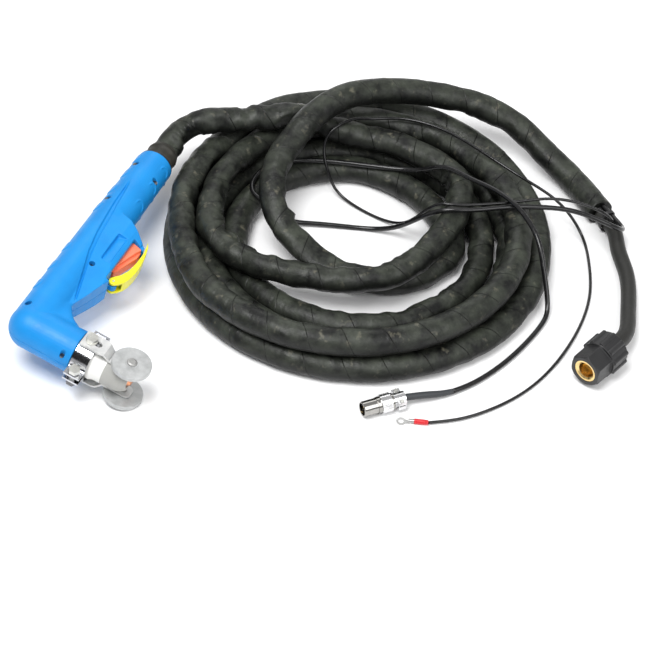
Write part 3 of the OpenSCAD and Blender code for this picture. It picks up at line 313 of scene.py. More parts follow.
TAPE, TAPE_WORN = (0.02, 0.0195, 0.016), (0.048, 0.045, 0.036)
MATERIALS = {
    "blue_plastic": moulded("blue_plastic", BLUE, BLUE_SHADE, 0.42, shine=0.3),
    "yellow_plastic": moulded("yellow_plastic", YELLOW, YELLOW_SHADE, 0.36, coat=0.2),
    "orange_plastic": moulded("orange_plastic", ORANGE, ORANGE_SHADE, 0.42, coat=0.1),
    "red_plastic": moulded("red_plastic", RED, RED_SHADE, 0.3, coat=0.2),
    "white_plastic": moulded("white_plastic", WHITE, WHITE_SHADE, 0.35, coat=0.2),
    "black_plastic": moulded("black_plastic", BLACK, BLACK_SHADE, 0.42, grain=0.08),
    "brown_insulator": moulded("brown_insulator", BROWN, BROWN_SHADE, 0.5),
    "grey_ceramic": moulded("grey_ceramic", CERAMIC, CERAMIC_SHADE, 0.55, grain=0.12),
    "black_sleeve": sleeve_material("black_sleeve", SLEEVE, SLEEVE_WORN_AND_TOP_LIT, WRAP_PITCH * MM),
    "black_tape": tape_material("black_tape", TAPE, TAPE_WORN),
    "black_rubber": wire_material("black_rubber", (0.006, 0.006, 0.0065), 0.17),
    "hose_rubber": wire_material("hose_rubber", (0.016, 0.016, 0.014), 0.5),
    "grey_rubber": wire_material("grey_rubber", (0.035, 0.038, 0.042), 0.5),
    "frosted_steel": frosted("frosted_steel", (0.58, 0.59, 0.59), (0.72, 0.72, 0.71)),
    "frosted_wheel": frosted("frosted_wheel", (0.4, 0.41, 0.41), (0.55, 0.56, 0.56)),
    "polished_steel": metal("polished_steel", (0.64, 0.65, 0.68), 0.09, (1, 6, 6)),
    "zinc_steel": metal("zinc_steel", (0.72, 0.72, 0.68), 0.26),
    "dull_steel": metal("dull_steel", (0.5, 0.5, 0.49), 0.42),
    "dark_steel": metal("dark_steel", (0.16, 0.16, 0.165), 0.3),
    "chrome_ring": metal("chrome_ring", (0.75, 0.75, 0.76), 0.2),
    "nickel": metal("nickel", (0.4, 0.39, 0.37), 0.13, (1, 1, 6)),
    "brass": metal("brass", (0.87, 0.64, 0.29), 0.24),
    "copper": metal("copper", (0.78, 0.36, 0.2), 0.28),
    "tinned_copper": metal("tinned_copper", (0.5, 0.5, 0.49), 0.3),
}


# ---- smooth routes ----

POINTS_PER_SPAN = 40


def smooth_route(points, spacing):
    """Points on one smooth curve through the given ones, a spacing apart."""
    at = np.array(points, float)
    steps = np.sqrt(np.linalg.norm(np.diff(at, axis=0), axis=1))
    knots = np.concatenate([[0], np.cumsum(steps)])
    slopes = spline_slopes(knots, at)
    dense = []
    for i in range(len(at) - 1):
        h = knots[i + 1] - knots[i]
        for u in np.linspace(0, 1, POINTS_PER_SPAN, endpoint=False):
            dense.append(
                (2 * u**3 - 3 * u**2 + 1) * at[i] + (u**3 - 2 * u**2 + u) * h * slopes[i]
                + (3 * u**2 - 2 * u**3) * at[i + 1] + (u**3 - u**2) * h * slopes[i + 1]
            )
    dense.append(at[-1])
    return even(np.array(dense), spacing)


def spline_slopes(knots, at):
    """Slopes of the natural cubic spline through the points."""
    n = len(at)
    left, right = np.zeros((n, n)), np.zeros_like(at)
    left[0, :2], right[0] = (2, 1), 3 * (at[1] - at[0]) / (knots[1] - knots[0])
    left[-1, -2:], right[-1] = (1, 2), 3 * (at[-1] - at[-2]) / (knots[-1] - knots[-2])
    for i in range(1, n - 1):
        a, b = knots[i] - knots[i - 1], knots[i + 1] - knots[i]
        left[i, i - 1 : i + 2] = b, 2 * (a + b), a
        right[i] = 3 * (b * (at[i] - at[i - 1]) / a + a * (at[i + 1] - at[i]) / b)
    return np.linalg.solve(left, right)


def distances(route):
    """How far along the route each of its points lies."""
    return np.concatenate([[0], np.cumsum(np.linalg.norm(np.diff(route, axis=0), axis=1))])


def even(dense, spacing):
    """The same line, cut into equal steps."""
    gone = distances(dense)
    count = max(4, round(gone[-1] / spacing) + 1)
    wanted = np.linspace(0, gone[-1], count)
    return np.stack([np.interp(wanted, gone, dense[:, k]) for k in range(3)], axis=1)


def length_of(route):
    return float(np.linalg.norm(np.diff(route, axis=0), axis=1).sum())


# ---- the lead's routes in millimetres, as in the solids ----

HANDLE_START_X, HANDLE_Y, HANDLE_Z = 138.291, 51.282, 48.713
COIL_MIDDLE = (160, -155)
COIL_FIRST_ANGLE, COIL_SWEEP, COIL_STEP = -10, 1830, 3.0
COIL_RADIUS, COIL_PITCH, COIL_TURN, COIL_CLIMB = 190.5, 28.3, 735, 140
SLEEVE_WIDE, SLEEVE_HIGH = 13.75, 13.05
LAYER_LOW, LAYER_HIGH = 13.1, 39.2
STRAIGHT_END = 26
LOOP_END = (315, -366, 13.2)
LOOP_WAY = np.array([-0.614, -0.789, 0])
# Where the turns run nearer to the coil's middle: how much, and the dip's middle and half
# length in degrees
COIL_DIPS = (
    (58, 125, 106), (10, 252, 54), (10, 612, 54), (6, 0, 60), (6, COIL_SWEEP, 60),
)


def dip(depth, t, middle, half):
    """A flat-bottomed dip that fades out on both sides of its middle."""
    u = min(1.0, abs(t - middle) / half)
    return depth * (1 - u**4) ** 2


def coil_radius(t):
    """Distance of the sleeve's middle from the coil's, after t degrees."""
    radius = COIL_RADIUS - COIL_PITCH * abs(t - COIL_TURN) / 360
    for depth, middle, half in COIL_DIPS:
        radius -= dip(depth, t, middle, half)
    return radius


def coil_height(t):
    """The upper layer first, then down over COIL_CLIMB degrees to the lower one."""
    down = min(1, max(0, (t - COIL_TURN + COIL_CLIMB / 2) / COIL_CLIMB))
    return LAYER_HIGH - (LAYER_HIGH - LAYER_LOW) * (1 - math.cos(math.pi * down)) / 2


def coil_route():
    """The whole coil, with a straight end on both sides."""
    points = []
    for t in np.arange(0, COIL_SWEEP + 1, COIL_STEP):
        turned = math.radians(COIL_FIRST_ANGLE - t)
        points.append((
            COIL_MIDDLE[0] + coil_radius(t) * math.cos(turned),
            COIL_MIDDLE[1] + coil_radius(t) * math.sin(turned),
            coil_height(t),
        ))
    points = np.array(points)
    before = points[0] - STRAIGHT_END * way_at(0)
    after = points[-1] + STRAIGHT_END * way_at(COIL_SWEEP)
    return np.concatenate([[before], points, [after]])


def way_at(t):
    """The coil's direction after t degrees."""
    turned = math.radians(COIL_FIRST_ANGLE - t)
    return np.array([math.sin(turned), -math.cos(turned), 0])


def level_way(degrees):
    """A level direction, so many degrees from X towards Y."""
    turned = math.radians(degrees)
    return np.array([math.cos(turned), math.sin(turned), 0])


COIL = coil_route()
LEAD_IN = [
    (HANDLE_START_X, HANDLE_Y, HANDLE_Z), (159.69, HANDLE_Y, HANDLE_Z), (177, 49, 53.5),
    (192, 40.5, 60.5), (204.5, 26.5, 65.5), (215, 10, 66), (229, -12, 66), (248, -41, 66),
    (258, -58, 63.5), (265, -73, 57), (273, -94, 48.5), (283, -122, 42), tuple(COIL[0]),
]
LAST_LOOP = [
    tuple(COIL[-1]), (196, -249, 13.2), (172, -250, 13.2), (148, -241, 13.2), (127, -222, 13.5),
    (114, -195, 14), (110, -161, 16), (114, -127, 24), (123, -102, 34), (138, -81, 45),
    (160, -68, 54), (184, -63, 62.5), (217, -66, 73.5), (249, -75, 82.3), (281, -91, 85.5),
    (308, -109, 80), (333, -133, 72), (350, -161, 66), (368, -206, 56), (371, -252, 42),
    (362, -290, 25), (347, -326, 14.5), LOOP_END,
]
HOSE_DROP, HOSE_STRAIGHT = 3.5, 26
HOSE_START = np.array(LOOP_END) - (0, 0, HOSE_DROP)
NUT_FRONT, NUT_WAY = np.array([83, -428.7, 20.0]), level_way(162.9)
NUT_LENGTH, HOSE_END_GAP = 45, 2
HOSE = [
    tuple(HOSE_START), tuple(HOSE_START + HOSE_STRAIGHT * LOOP_WAY), (274, -400, 9),
    (249, -416, 8), (220, -429, 8.5), (184, -440, 12), (152, -447, 17),
    tuple(NUT_FRONT - (NUT_LENGTH + HOSE_END_GAP) * NUT_WAY),
]
# The cable and the pilot lead leave the sleeve side by side, over the hose
BUNDLE_SIDE = np.array([-LOOP_WAY[1], LOOP_WAY[0], 0])
BUNDLE_RISE, BUNDLE_HALF, BUNDLE_STRAIGHT = 7.6, 2.6, 24
CABLE_START = np.array(LOOP_END) + (0, 0, BUNDLE_RISE) + BUNDLE_HALF * BUNDLE_SIDE
CABLE = [
    tuple(CABLE_START), tuple(CABLE_START + BUNDLE_STRAIGHT * LOOP_WAY), (287, -398, 26),
    (273, -394, 37),
    (266, -376, 46), (261, -350, 51), (249, -322, 54), (230, -290, 56), (210, -260, 56),
    (199, -236, 54.6), (196, -213, 38), (197, -190, 16), (196, -166, 4), (186, -135, 3),
    (175, -107, 4), (164, -84, 9), (157, -64, 27), (163, -47, 29.5), (179, -38, 29.5),
    (200, -39, 29.5), (219, -50, 29.5), (235, -74, 29.5), (247, -104, 29.5), (258, -140, 29.5),
    (265, -174, 33), (264, -196, 44), (261, -215, 55), (254, -243, 57), (247, -265, 60),
    (239, -284, 62), (229, -302, 62), (217, -319, 58.5), (202, -335, 52), (186, -348, 36),
    (173, -358, 20), (160, -365, 7), (144, -366, 3), (102, -359, 3), (66, -348, 3),
    (36, -334, 3.3), (17, -321, 4),
]
PLUG_FRONT, PLUG_WAY = np.array([-48, -255, 9.3]), level_way(136.9)
# How far behind the plug's front the boot straightens, and where it ends inside the clamp
BOOT_STRAIGHT, BOOT_END = 44, 25
BOOT = [
    CABLE[-1], (8, -312.6, 5.4), (-3, -300.2, 7.8), (-11, -290.6, 8.9),
    tuple(PLUG_FRONT - BOOT_STRAIGHT * PLUG_WAY), tuple(PLUG_FRONT - BOOT_END * PLUG_WAY),
]
TERMINAL_AT, TERMINAL_WAY, TERMINAL_LENGTH = np.array([-38, -291, 2.6]), level_way(-71.6), 25.3
PILOT_START = np.array(LOOP_END) + (0, 0, BUNDLE_RISE) - BUNDLE_HALF * BUNDLE_SIDE
PILOT = [
    tuple(PILOT_START), tuple(PILOT_START + BUNDLE_STRAIGHT * LOOP_WAY), (289, -383, 33),
    (281, -371, 45),
    (274, -350, 52), (263, -325, 55.5), (244, -298, 56), (225, -270, 56), (209, -243, 57),
    (206, -228, 54), (205, -212, 37), (208, -193, 14), (214, -168, 3), (220, -138, 2.5),
    (229, -110, 8), (234, -97, 26), (241, -89, 42), (250, -88, 55), (259, -93, 62.5),
    (270, -99, 64), (282, -106, 62), (295, -118, 57), (309, -141, 56), (315, -172, 56),
    (310, -208, 56), (297, -250, 54), (290, -291, 46), (292, -322, 32), (291, -345, 14),
    (279, -362, 3), (252, -377, 2), (210, -393, 2), (165, -400, 2), (121, -399, 2), (78, -392, 2),
    (42, -379, 2), (12, -361, 2.3), (-12, -340, 2.6),
    tuple(TERMINAL_AT + TERMINAL_LENGTH * TERMINAL_WAY),
]


# ---- tubes ----


def ring_axes(route):
    """At each point of a route: its direction, and the level and rising directions across it."""
    forward = np.gradient(route, axis=0)
    forward /= np.linalg.norm(forward, axis=1)[:, None]
    side = np.cross(forward, (0, 0, 1))
    side /= np.linalg.norm(side, axis=1)[:, None]
    return forward, side, np.cross(side, forward)


# Lowest height of a tube's skin, in millimetres
OVER_FLOOR = 0.05


def tube(name, route, section, around):
    """Mesh tube along a route in millimetres, on the floor or above it.

    section(i, s, angle) gives its half width and half height at point i, s millimetres along.
    The UV map "along" holds the turn around the tube and the metres along it.
    """
    _, side, rise = ring_axes(route)
    gone = distances(route)
    angles = np.linspace(0, 2 * math.pi, around, endpoint=False) - math.pi / 2
    mesh = bmesh.new()
    layer = mesh.loops.layers.uv.new("along")
    rings = []
    for i, middle in enumerate(route):
        ring = []
        for angle in angles:
            wide, high = section(i, gone[i], angle)
            at = middle + wide * math.cos(angle) * side[i] + high * math.sin(angle) * rise[i]
            at[2] = max(at[2], OVER_FLOOR)
            ring.append(mesh.verts.new(at * MM))
        rings.append(ring)
    for i in range(len(rings) - 1):
        first, last = gone[i] * MM, gone[i + 1] * MM
        for k in range(around):
            n = (k + 1) % around
            face = mesh.faces.new((rings[i][k], rings[i][n], rings[i + 1][n], rings[i + 1][k]))
            face.smooth = True
            here, after = k / around, (k + 1) / around
            corners = ((here, first), (after, first), (after, last), (here, last))
            for loop, uv in zip(face.loops, corners):
                loop[layer].uv = uv
    mesh.faces.new(rings[0][::-1])
    mesh.faces.new(rings[-1])
    return keep(name, mesh)


def keep(name, mesh):
    """Turns a bmesh into an object that rides on the torch."""
    bmesh.ops.recalc_face_normals(mesh, faces=mesh.faces)
    data = bpy.data.meshes.new(name)
    mesh.to_mesh(data)
    mesh.free()
    made = bpy.data.objects.new(name, data)
    bpy.context.collection.objects.link(made)
    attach(made, "torch")
    return made


def dress(piece, material):
    """Gives a piece its material."""
    piece.data.materials.clear()
    piece.data.materials.append(MATERIALS[material])
    return piece


# ---- the sleeve ----

# Millimetres between the rings of the mesh, and points on each
SLEEVE_SPACING, COIL_SPACING, SLEEVE_AROUND = 2.6, 3.0, 40
# How much the sleeve wrinkles where no wrinkle is listed, and the deepest that it folds
PLAIN_WRINKLES, DEEPEST_FOLD = 0.35, 2.8
# Creases, dents and grain: depth and length along the sleeve, and features around it
CREASE_DEPTH, CREASE_FROM = 1.6, 0.75
FOLD_LENGTH, NECK_FOLD_LENGTH, FOLD_AROUND = 19, 13, 0.5
DENT_DEPTH, DENT_LENGTH, DENT_AROUND = 1.0, 34, 0.8
GRAIN_DEPTH, GRAIN_LENGTH, GRAIN_AROUND = 0.12, 6, 1.6
# Height of the wound cloth's overlap, and the change of a section that lies flat
WRAP_STEP = 0.35
FLAT_WIDER, FLAT_LOWER = 0.16, 0.27
# Curvature of 1 in bend_of, as a radius, and the points over which it is smoothed
BEND_RADIUS, BEND_SMOOTHING = 100, 9


def folds(s, angle, seed, size):
    """1 on the ridges of soft folds across the sleeve, and less beside them."""
    level, rising = math.cos(angle) * FOLD_AROUND, math.sin(angle) * FOLD_AROUND
    return 1 - abs(noise.noise(Vector((s / size, level + seed, rising)))) * 2


def amount_at(s, stretches):
    """Sum of the stretches' amounts at s, each fading to nothing at its ends."""
    return sum(amount * near(s, middle, half) for middle, half, amount in stretches)


def near(s, middle, half):
    """1 at the middle, and 0 from half a length away."""
    u = min(1.0, abs(s - middle) / half)
    return (1 - u * u) ** 2


def jacket_section(seed, bends, flats, wrinkles, size):
    """Section of the wound sleeve: creases on the inside of bends, and flattened stretches.

    bends gives how strongly and to which side the route bends at each point. flats and
    wrinkles list (place, half length, amount). size is the length of one fold.
    """

    def section(i, s, angle):
        flat = amount_at(s, flats)
        rough = PLAIN_WRINKLES + amount_at(s, wrinkles)
        level, rising = math.cos(angle), math.sin(angle)
        inside = 0.5 + max(0.0, level * bends[i])
        crease = min(0.0, folds(s, angle, seed, size) - CREASE_FROM)
        dent = noise.noise(
            Vector((s / DENT_LENGTH, level * DENT_AROUND + seed, rising * DENT_AROUND))
        )
        fine = noise.noise(
            Vector((s / GRAIN_LENGTH, level * GRAIN_AROUND, rising * GRAIN_AROUND + seed))
        )
        push = rough * inside * (CREASE_DEPTH * crease + DENT_DEPTH * dent) + GRAIN_DEPTH * fine
        push = max(push, -DEEPEST_FOLD)
        push += (s / WRAP_PITCH + (angle + math.pi / 2) / (2 * math.pi)) % 1.0 * WRAP_STEP
        wide = SLEEVE_WIDE * (1 + FLAT_WIDER * flat)
        high = SLEEVE_HIGH * (1 - FLAT_LOWER * flat)
        return wide + push, high + push

    return section


def bend_of(route):
    """How a route bends to its side at each point: 1 is a radius of BEND_RADIUS millimetres."""
    forward, side, _ = ring_axes(route)
    turning = np.gradient(forward, axis=0)
    bend = np.sum(turning * side, axis=1) / np.gradient(distances(route)) * BEND_RADIUS
    return np.convolve(bend, np.ones(BEND_SMOOTHING) / BEND_SMOOTHING, mode="same")


def sleeve_piece(
    name, node, points, seed, flats=(), wrinkles=(), smooth=True, size=FOLD_LENGTH
):
    """One stretch of the sleeved lead, in place of its node's solid.

    smooth says that the points are far apart, and joined by a smooth curve.
    """
    if smooth:
        route = smooth_route(points, SLEEVE_SPACING)
    else:
        route = even(np.array(points), COIL_SPACING)
    section = jacket_section(seed, bend_of(route), flats, wrinkles, size)
    piece = dress(tube(name, route, section, SLEEVE_AROUND), "black_sleeve")
    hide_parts(node)


# Where each stretch wrinkles or lies flat: place, half length, and how much
NECK_WRINKLES = [(50, 32, 3.6), (105, 50, 3.8), (165, 50, 3.0), (225, 60, 2.2)]
COIL_WRINKLES = [
    (150, 220, 1.9), (430, 200, 2.6), (900, 240, 1.3), (1500, 260, 1.7), (2200, 320, 1.1),
    (3100, 320, 1.2), (4200, 380, 1.2),
]
LAST_WRINKLES = [(60, 70, 1.9), (200, 90, 1.7), (330, 120, 1.4), (600, 120, 0.9)]
LAST_FLATS = [(200, 90, 1.0)]


def make_sleeve():
    sleeve_piece("sleeve_in", "lead_in", LEAD_IN, 3.0,
                 wrinkles=NECK_WRINKLES, size=NECK_FOLD_LENGTH)
    sleeve_piece("sleeve_coil", "lead_coil", COIL, 11.0,
                 wrinkles=COIL_WRINKLES, smooth=False)
    sleeve_piece("sleeve_last", "lead_last_loop", LAST_LOOP, 23.0,
                 flats=LAST_FLATS, wrinkles=LAST_WRINKLES)


# ---- hose and wires ----

HOSE_RADIUS, CABLE_RADIUS, PILOT_RADIUS = 7.8, 2.5, 1.5
WIRE_SPACING, WIRE_AROUND = 2.0, 20


def wire(
    name, node, points, radius, with_pieces=(), material="black_rubber"
):
    """A hose or wire along its route, in place of its node's solid."""
    route = smooth_route(points, WIRE_SPACING)
    made = tube(name, route, lambda i, s, angle: (radius, radius), WIRE_AROUND)
    piece = dress(made, material)
    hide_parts(node)


# Radius at its thin and its thick end, and the share of its length over which it grows
BOOT_THIN, BOOT_THICK, BOOT_GROWTH = 2.65, 3.4, 0.35
BOOT_RIPPLE, BOOT_RIPPLES = 0.04, 1.9
BOOT_SPACING, BOOT_AROUND = 1.0, 24


def make_boot():
    """Shrunk-on boot that grows from the cable to the plug's clamp."""
    route = smooth_route(BOOT, BOOT_SPACING)
    growing = BOOT_GROWTH * length_of(route)

    def section(i, s, angle):
        ripple = BOOT_RIPPLE * math.sin(s * BOOT_RIPPLES)
        radius = BOOT_THIN + (BOOT_THICK - BOOT_THIN) * min(1.0, s / growing) + ripple
        return radius, radius

    boot = dress(tube("boot", route, section, BOOT_AROUND), "grey_rubber")
    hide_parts("plug_boot")
    return boot


def make_wires():
    nodes = frame["nodes"]
    on_hose = [nodes[n] for n in ("connector_nut", "connector_insert", "connector_nipple")]
    on_cable = [nodes[n] for n in ("plug_shell", "plug_coupling_ring", "plug_clamp")]
    on_pilot = [nodes[n] for n in ("ring_terminal", "terminal_sleeve")]
    wire("hose", "power_hose", HOSE, HOSE_RADIUS,
         with_pieces=on_hose, material="hose_rubber")
    wire("cable", "control_cable", CABLE, CABLE_RADIUS,
         with_pieces=[make_boot()] + on_cable)
    wire("pilot", "pilot_lead", PILOT, PILOT_RADIUS,
         with_pieces=on_pilot)


# ---- rigid pieces ----

SLOTS = {part["node"]: part["material_slot"] for part in frame["record"]["subparts"]}
WELD_DISTANCE = 1e-6
RELAX_FACTOR, RELAX_ROUNDS = 0.5, 4


def soften(node, voxel, keep_share, shape=None, rounder=None):
    """The node's shape with its edges rounded as moulded ones are, in place of the sharp solid.

    voxel is the fine mesh's cell in millimetres, and keep_share the share of its faces kept.
    shape moves the points of the fine mesh, in millimetres, before its edges are relaxed.
    rounder gives the share, from 0 to 1, by which each point is relaxed much further.
    """
    source = frame["nodes"][node]
    made = bpy.data.objects.new(node + "_moulded", source.data.copy())
    bpy.context.collection.objects.link(made)
    mesh = bmesh.new()
    mesh.from_mesh(made.data)
    bmesh.ops.remove_doubles(mesh, verts=mesh.verts, dist=WELD_DISTANCE)
    mesh.to_mesh(made.data)
    mesh.free()
    remesh = made.modifiers.new("remesh", "REMESH")
    remesh.mode = "VOXEL"
    remesh.voxel_size = voxel * MM
    apply_modifiers(made)
    points = np.empty(len(made.data.vertices) * 3)
    made.data.vertices.foreach_get("co", points)
    points = points.reshape(-1, 3) / MM
    if shape:
        points = shape(points)
    if rounder:
        points = relax_further(made.data, points, rounder(points))
    made.data.vertices.foreach_set("co", (points * MM).ravel())
    relax = made.modifiers.new("relax", "SMOOTH")
    relax.factor, relax.iterations = RELAX_FACTOR, RELAX_ROUNDS
    thin = made.modifiers.new("thin", "DECIMATE")
    thin.ratio = keep_share
    apply_modifiers(made)
    for face in made.data.polygons:
        face.use_smooth = True
    bodies = frame["record"]["behaviour"]["bodies"]
    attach(made, next(body for body, nodes in bodies.items() if node in nodes))
    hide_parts(node)
    dress(made, SLOTS[node])


CORNER_ROUNDS, CORNER_RELAX = 400, 0.7


def relax_further(data, points, shares):
    """Points drawn again and again towards their neighbours' middle, each by its own share."""
    edges = np.empty(len(data.edges) * 2, int)
    data.edges.foreach_get("vertices", edges)
    edges = edges.reshape(-1, 2)
    edges = edges[(shares[edges] > 0).any(axis=1)]
    used, local = np.unique(edges, return_inverse=True)
    local = local.reshape(-1, 2)
    ends = np.concatenate([local[:, 0], local[:, 1]])
    others = np.concatenate([local[:, 1], local[:, 0]])
    count = np.bincount(ends, minlength=len(used))
    own, share = points[used], CORNER_RELAX * shares[used]
    for _ in range(CORNER_ROUNDS):
        for k in range(3):
            middle = np.bincount(ends, own[others, k], len(used)) / count
            own[:, k] += share * (middle - own[:, k])
    points[used] = own
    return points


def apply_modifiers(made):
    """Puts the object's modifiers into its mesh."""
    bpy.context.view_layer.update()
    evaluated = made.evaluated_get(bpy.context.evaluated_depsgraph_get())
    data = bpy.data.meshes.new_from_object(evaluated)
    made.modifiers.clear()
    made.data = data


# The torch's own axes: X along the handle, Y away from the head, Z to its upper side
TORCH_AT = np.array([-124.309, 51.282, 48.713])
TORCH_ROLL = math.radians(12)
TORCH_TURN = np.array([
    [1, 0, 0],
    [0, math.cos(TORCH_ROLL), -math.sin(TORCH_ROLL)],
    [0, math.sin(TORCH_ROLL), math.cos(TORCH_ROLL)],
])
# Upper and lower edge of the groove over the trigger housing
GROOVE_TOP = np.array([
    (43, -20.6), (45.1, -19.9), (73.3, -12.1), (101.9, -4.2), (126.6, 0.2), (149.8, 2.8),
    (173.2, 5.0), (194.4, 6.0), (211.7, 6.6),
])
GROOVE_BOTTOM = np.array([
    (43, -22.4), (45.1, -21.6), (74.6, -14.1), (100.7, -7.6), (124.1, -3.7), (145.9, -1.7),
    (170.7, 1.2), (187.8, 2.9), (203.7, 4.6), (211.7, 6.4),
])
GROOVE_DEPTH, GROOVE_WALL = 2.3, 0.7
GROOVE_FADE_IN, GROOVE_FADE_OUT = 6, 14
# The flat flank below the groove: its half thickness from front to rear, and where it fades out
FLANK_X, FLANK_HALF = (36, 120), (11.3, 19.0)
FLANK_END, FLANK_LEAD, FLANK_SKIN, FLANK_FOOT = (158, 168), 4, 1.5, -30
# The recess in the flank, whose floor slopes from its lower to its upper edge
RECESS_X, RECESS_Y, RECESS_CORNER = (101.2, 138.6), (-27.4, -17.6), 3.0
RECESS_FLOOR, RECESS_WALL, RECESS_SKIN = (0.4, 2.4), 0.6, 15


def rounded_inside(x, y, spans, corner):
    """Distance inside a rectangle with round corners, below zero outside it."""
    (left, right), (low, high) = spans
    over_x = np.abs(x - (left + right) / 2) - (right - left) / 2 + corner
    over_y = np.abs(y - (low + high) / 2) - (high - low) / 2 + corner
    outer = np.hypot(np.maximum(over_x, 0), np.maximum(over_y, 0))
    return corner - outer - np.minimum(np.maximum(over_x, over_y), 0)


def carve_flank(points):
    """On both sides: the groove, the flat flank below it and the recess in the flank."""
    own = (points - TORCH_AT) @ TORCH_TURN
    x, y, z = own.T
    height = np.abs(z)
    first, last = GROOVE_TOP[0, 0], GROOVE_TOP[-1, 0]
    top = np.interp(x, GROOVE_TOP[:, 0], GROOVE_TOP[:, 1])
    bottom = np.interp(x, GROOVE_BOTTOM[:, 0], GROOVE_BOTTOM[:, 1])

    flank = np.interp(x, FLANK_X, FLANK_HALF)
    below = np.clip((bottom - y) / GROOVE_WALL + 1, 0, 1)
    fade = np.clip((FLANK_END[1] - x) / (FLANK_END[1] - FLANK_END[0]), 0, 1)
    over = np.maximum(0, height - flank) * below * fade * (x > first - FLANK_LEAD) * (x < last)

    depth = np.clip(np.minimum(top - y, y - bottom) / GROOVE_WALL + 0.5, 0, 1)
    depth *= np.clip((x - first) / GROOVE_FADE_IN, 0, 1)
    depth *= np.clip((last - x) / GROOVE_FADE_OUT, 0, 1)
    groove = GROOVE_DEPTH * depth * (height > flank - FLANK_SKIN) * (y > FLANK_FOOT)

    inside = rounded_inside(x, y, (RECESS_X, RECESS_Y), RECESS_CORNER) / RECESS_WALL
    recess = np.interp(y, RECESS_Y, RECESS_FLOOR) * np.clip(inside, 0, 1)
    own[:, 2] -= np.sign(z) * (over + groove + recess * (height > RECESS_SKIN))
    return own @ TORCH_TURN.T + TORCH_AT


# Where the corner is in X and Y, how far around it the skin is rounded, and how far from the
# middle of the grip and of the neck that skin starts
CORNER_AT, CORNER_REACH, CORNER_SKIN = (23.0, -27.0), 19.0, 19.0


def round_corner(points):
    """Share of extra rounding: the grip's underside runs into the neck in a large radius."""
    own = (points - TORCH_AT) @ TORCH_TURN
    gone = np.hypot(own[:, 0] - CORNER_AT[0], own[:, 1] - CORNER_AT[1]) / CORNER_REACH
    from_grip = np.hypot(own[:, 1], own[:, 2])
    from_neck = np.hypot(own[:, 0], own[:, 2])
    return np.clip(2 * (1 - gone), 0, 1) * (np.minimum(from_grip, from_neck) > CORNER_SKIN)


LATHE_AROUND = 96


def lathe(name, profile, start, way):
    """Ring turned around an axis, in millimetres.

    profile lists (place along the axis, radius), all the way round the ring's section.
    """
    side = np.cross(way, (0, 0, 1))
    side /= np.linalg.norm(side)
    rise = np.cross(side, way)
    mesh = bmesh.new()
    rings = []
    for along, radius in profile:
        ring = []
        for angle in np.linspace(0, 2 * math.pi, LATHE_AROUND, endpoint=False):
            outward = math.cos(angle) * side + math.sin(angle) * rise
            at = start + along * way + radius * outward
            ring.append(mesh.verts.new(at * MM))
        rings.append(ring)
    for i, ring in enumerate(rings):
        after = rings[(i + 1) % len(rings)]
        for k in range(LATHE_AROUND):
            n = (k + 1) % LATHE_AROUND
            mesh.faces.new((ring[k], ring[n], after[n], after[k])).smooth = True
    return keep(name, mesh)


CUFF = [
    (0, 13.4), (0, 14.3), (1.9, 14.3), (2.3, 15.3), (4, 15.45), (8, 15.35), (12.2, 15.4),
    (12.8, 16), (14.2, 16.1), (14.8, 15.4), (17, 15.3), (18.6, 14.8), (19.6, 13.9), (19.6, 13.4),
]
CUFF_AT = 262.4


def make_cuff():
    """Taped cuff with a step at the handle and a rolled seam, over the end of the sleeve."""
    ring = lathe("cuff", CUFF, TORCH_AT + (CUFF_AT, 0, 0), np.array([1.0, 0, 0]))
    cuff = dress(ring, "black_tape")
    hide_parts("sleeve_cuff")


# Solids that look different from their slot's material
OWN_LOOK = {
    "guide_wheel_upper": "frosted_wheel", "guide_wheel_lower": "frosted_wheel",
    "wheel_axle_upper": "dull_steel", "wheel_axle_lower": "dull_steel",
    "handle_screws": "dark_steel", "plug_shell": "nickel",
}


def finish_nodes():
    """Each solid that stays takes its own look or the material of its slot."""
    for node, piece in frame["nodes"].items():
        piece.data.materials.clear()
        piece.data.materials.append(MATERIALS[OWN_LOOK.get(node, SLOTS[node])])


HANDLE_VOXEL, HANDLE_KEPT = 0.5, 0.35
SMALL_VOXEL, SMALL_KEPT = 0.3, 0.4


def make_moulded():
    for node in ("handle_shell_upper", "handle_shell_lower"):
        soften(node, HANDLE_VOXEL, HANDLE_KEPT, carve_flank, round_corner)
    for node in ("trigger", "safety_cover", "connector_nut"):
        soften(node, SMALL_VOXEL, SMALL_KEPT)


# ---- floor and light ----

FLOOR_SIZE = 14
CARD_COLOR, CARD_ROUGHNESS = (0.01, 0.01, 0.01), 0.9
ROOM_STRENGTH = 0.5
LIGHTS_AIM = (0.05, -0.18, 0.0)
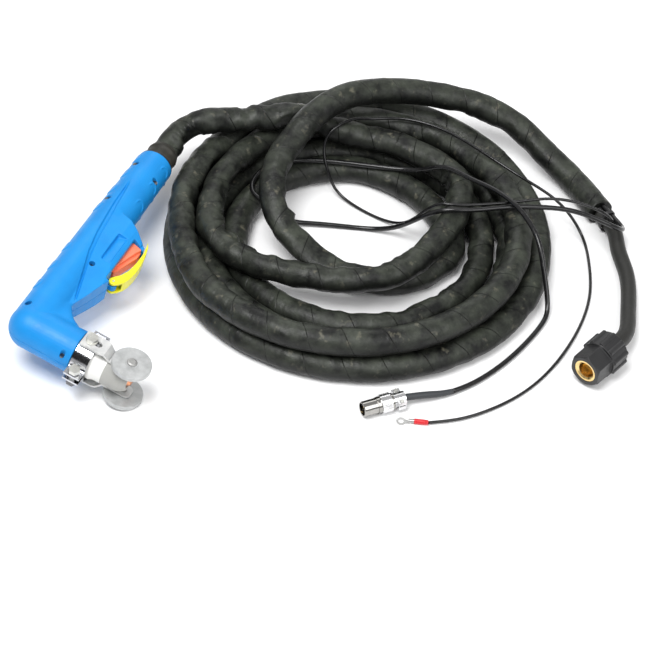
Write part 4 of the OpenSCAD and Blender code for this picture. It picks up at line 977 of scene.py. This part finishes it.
# Name, place, size and power of each lamp
LIGHTS = (
    ("key", (-0.85, 0.15, 2.4), 1.4, 58),
    ("fill", (-0.6, -1.8, 1.6), 1.8, 22),
    ("back", (1.6, 0.6, 1.5), 1.2, 6),
)
# Name, place, width, height and aim of each card
CARDS = (
    ("dark_card_left", (-1.11, 0.3, 0.81), 0.9, 1.0, (-0.12, -0.02, 0.05)),
    ("dark_card_front", (-0.5, -1.7, 0.5), 1.2, 0.25, (0.0, -0.2, 0.0)),
)


def add_floor():
    bpy.ops.mesh.primitive_plane_add(size=FLOOR_SIZE, location=(0, 0, 0))
    floor = bpy.context.object
    floor.name = "studio_floor"
    floor.data.materials.append(floor_material())


def turn_towards(thing, where, aim):
    """Puts a lamp or a card at its place, turned towards its aim."""
    thing.location = where
    thing.rotation_mode = "QUATERNION"
    thing.rotation_quaternion = (Vector(where) - Vector(aim)).to_track_quat("Z", "Y")


def add_light(name, where, size, power):
    data = bpy.data.lights.new(name, "AREA")
    data.shape = "DISK"
    data.size = size
    data.energy = power
    lamp = bpy.data.objects.new(name, data)
    bpy.context.collection.objects.link(lamp)
    turn_towards(lamp, where, LIGHTS_AIM)


def add_card(name, where, wide, high, aim):
    """Black card that the camera doesn't see, for dark reflections in the polished pieces."""
    bpy.ops.mesh.primitive_plane_add(size=1)
    card = bpy.context.object
    card.name = name
    card.scale = (wide, high, 1)
    turn_towards(card, where, aim)
    material, _, _ = shader(name, CARD_COLOR, CARD_ROUGHNESS)
    card.data.materials.append(material)
    card.visible_camera = False


def add_lights():
    """A white room with one large soft key and weaker lamps from the front and the back."""
    bpy.context.scene.view_settings.view_transform = "Standard"
    world = bpy.data.worlds.new("studio")
    bpy.context.scene.world = world
    world.use_nodes = True
    background = world.node_tree.nodes["Background"]
    background.inputs["Color"].default_value = (1, 1, 1, 1)
    background.inputs["Strength"].default_value = ROOM_STRENGTH
    for light in LIGHTS:
        add_light(*light)


add_camera()
make_sleeve()
make_wires()
finish_nodes()
make_moulded()
make_cuff()
add_floor()
for card in CARDS:
    add_card(*card)
add_lights()
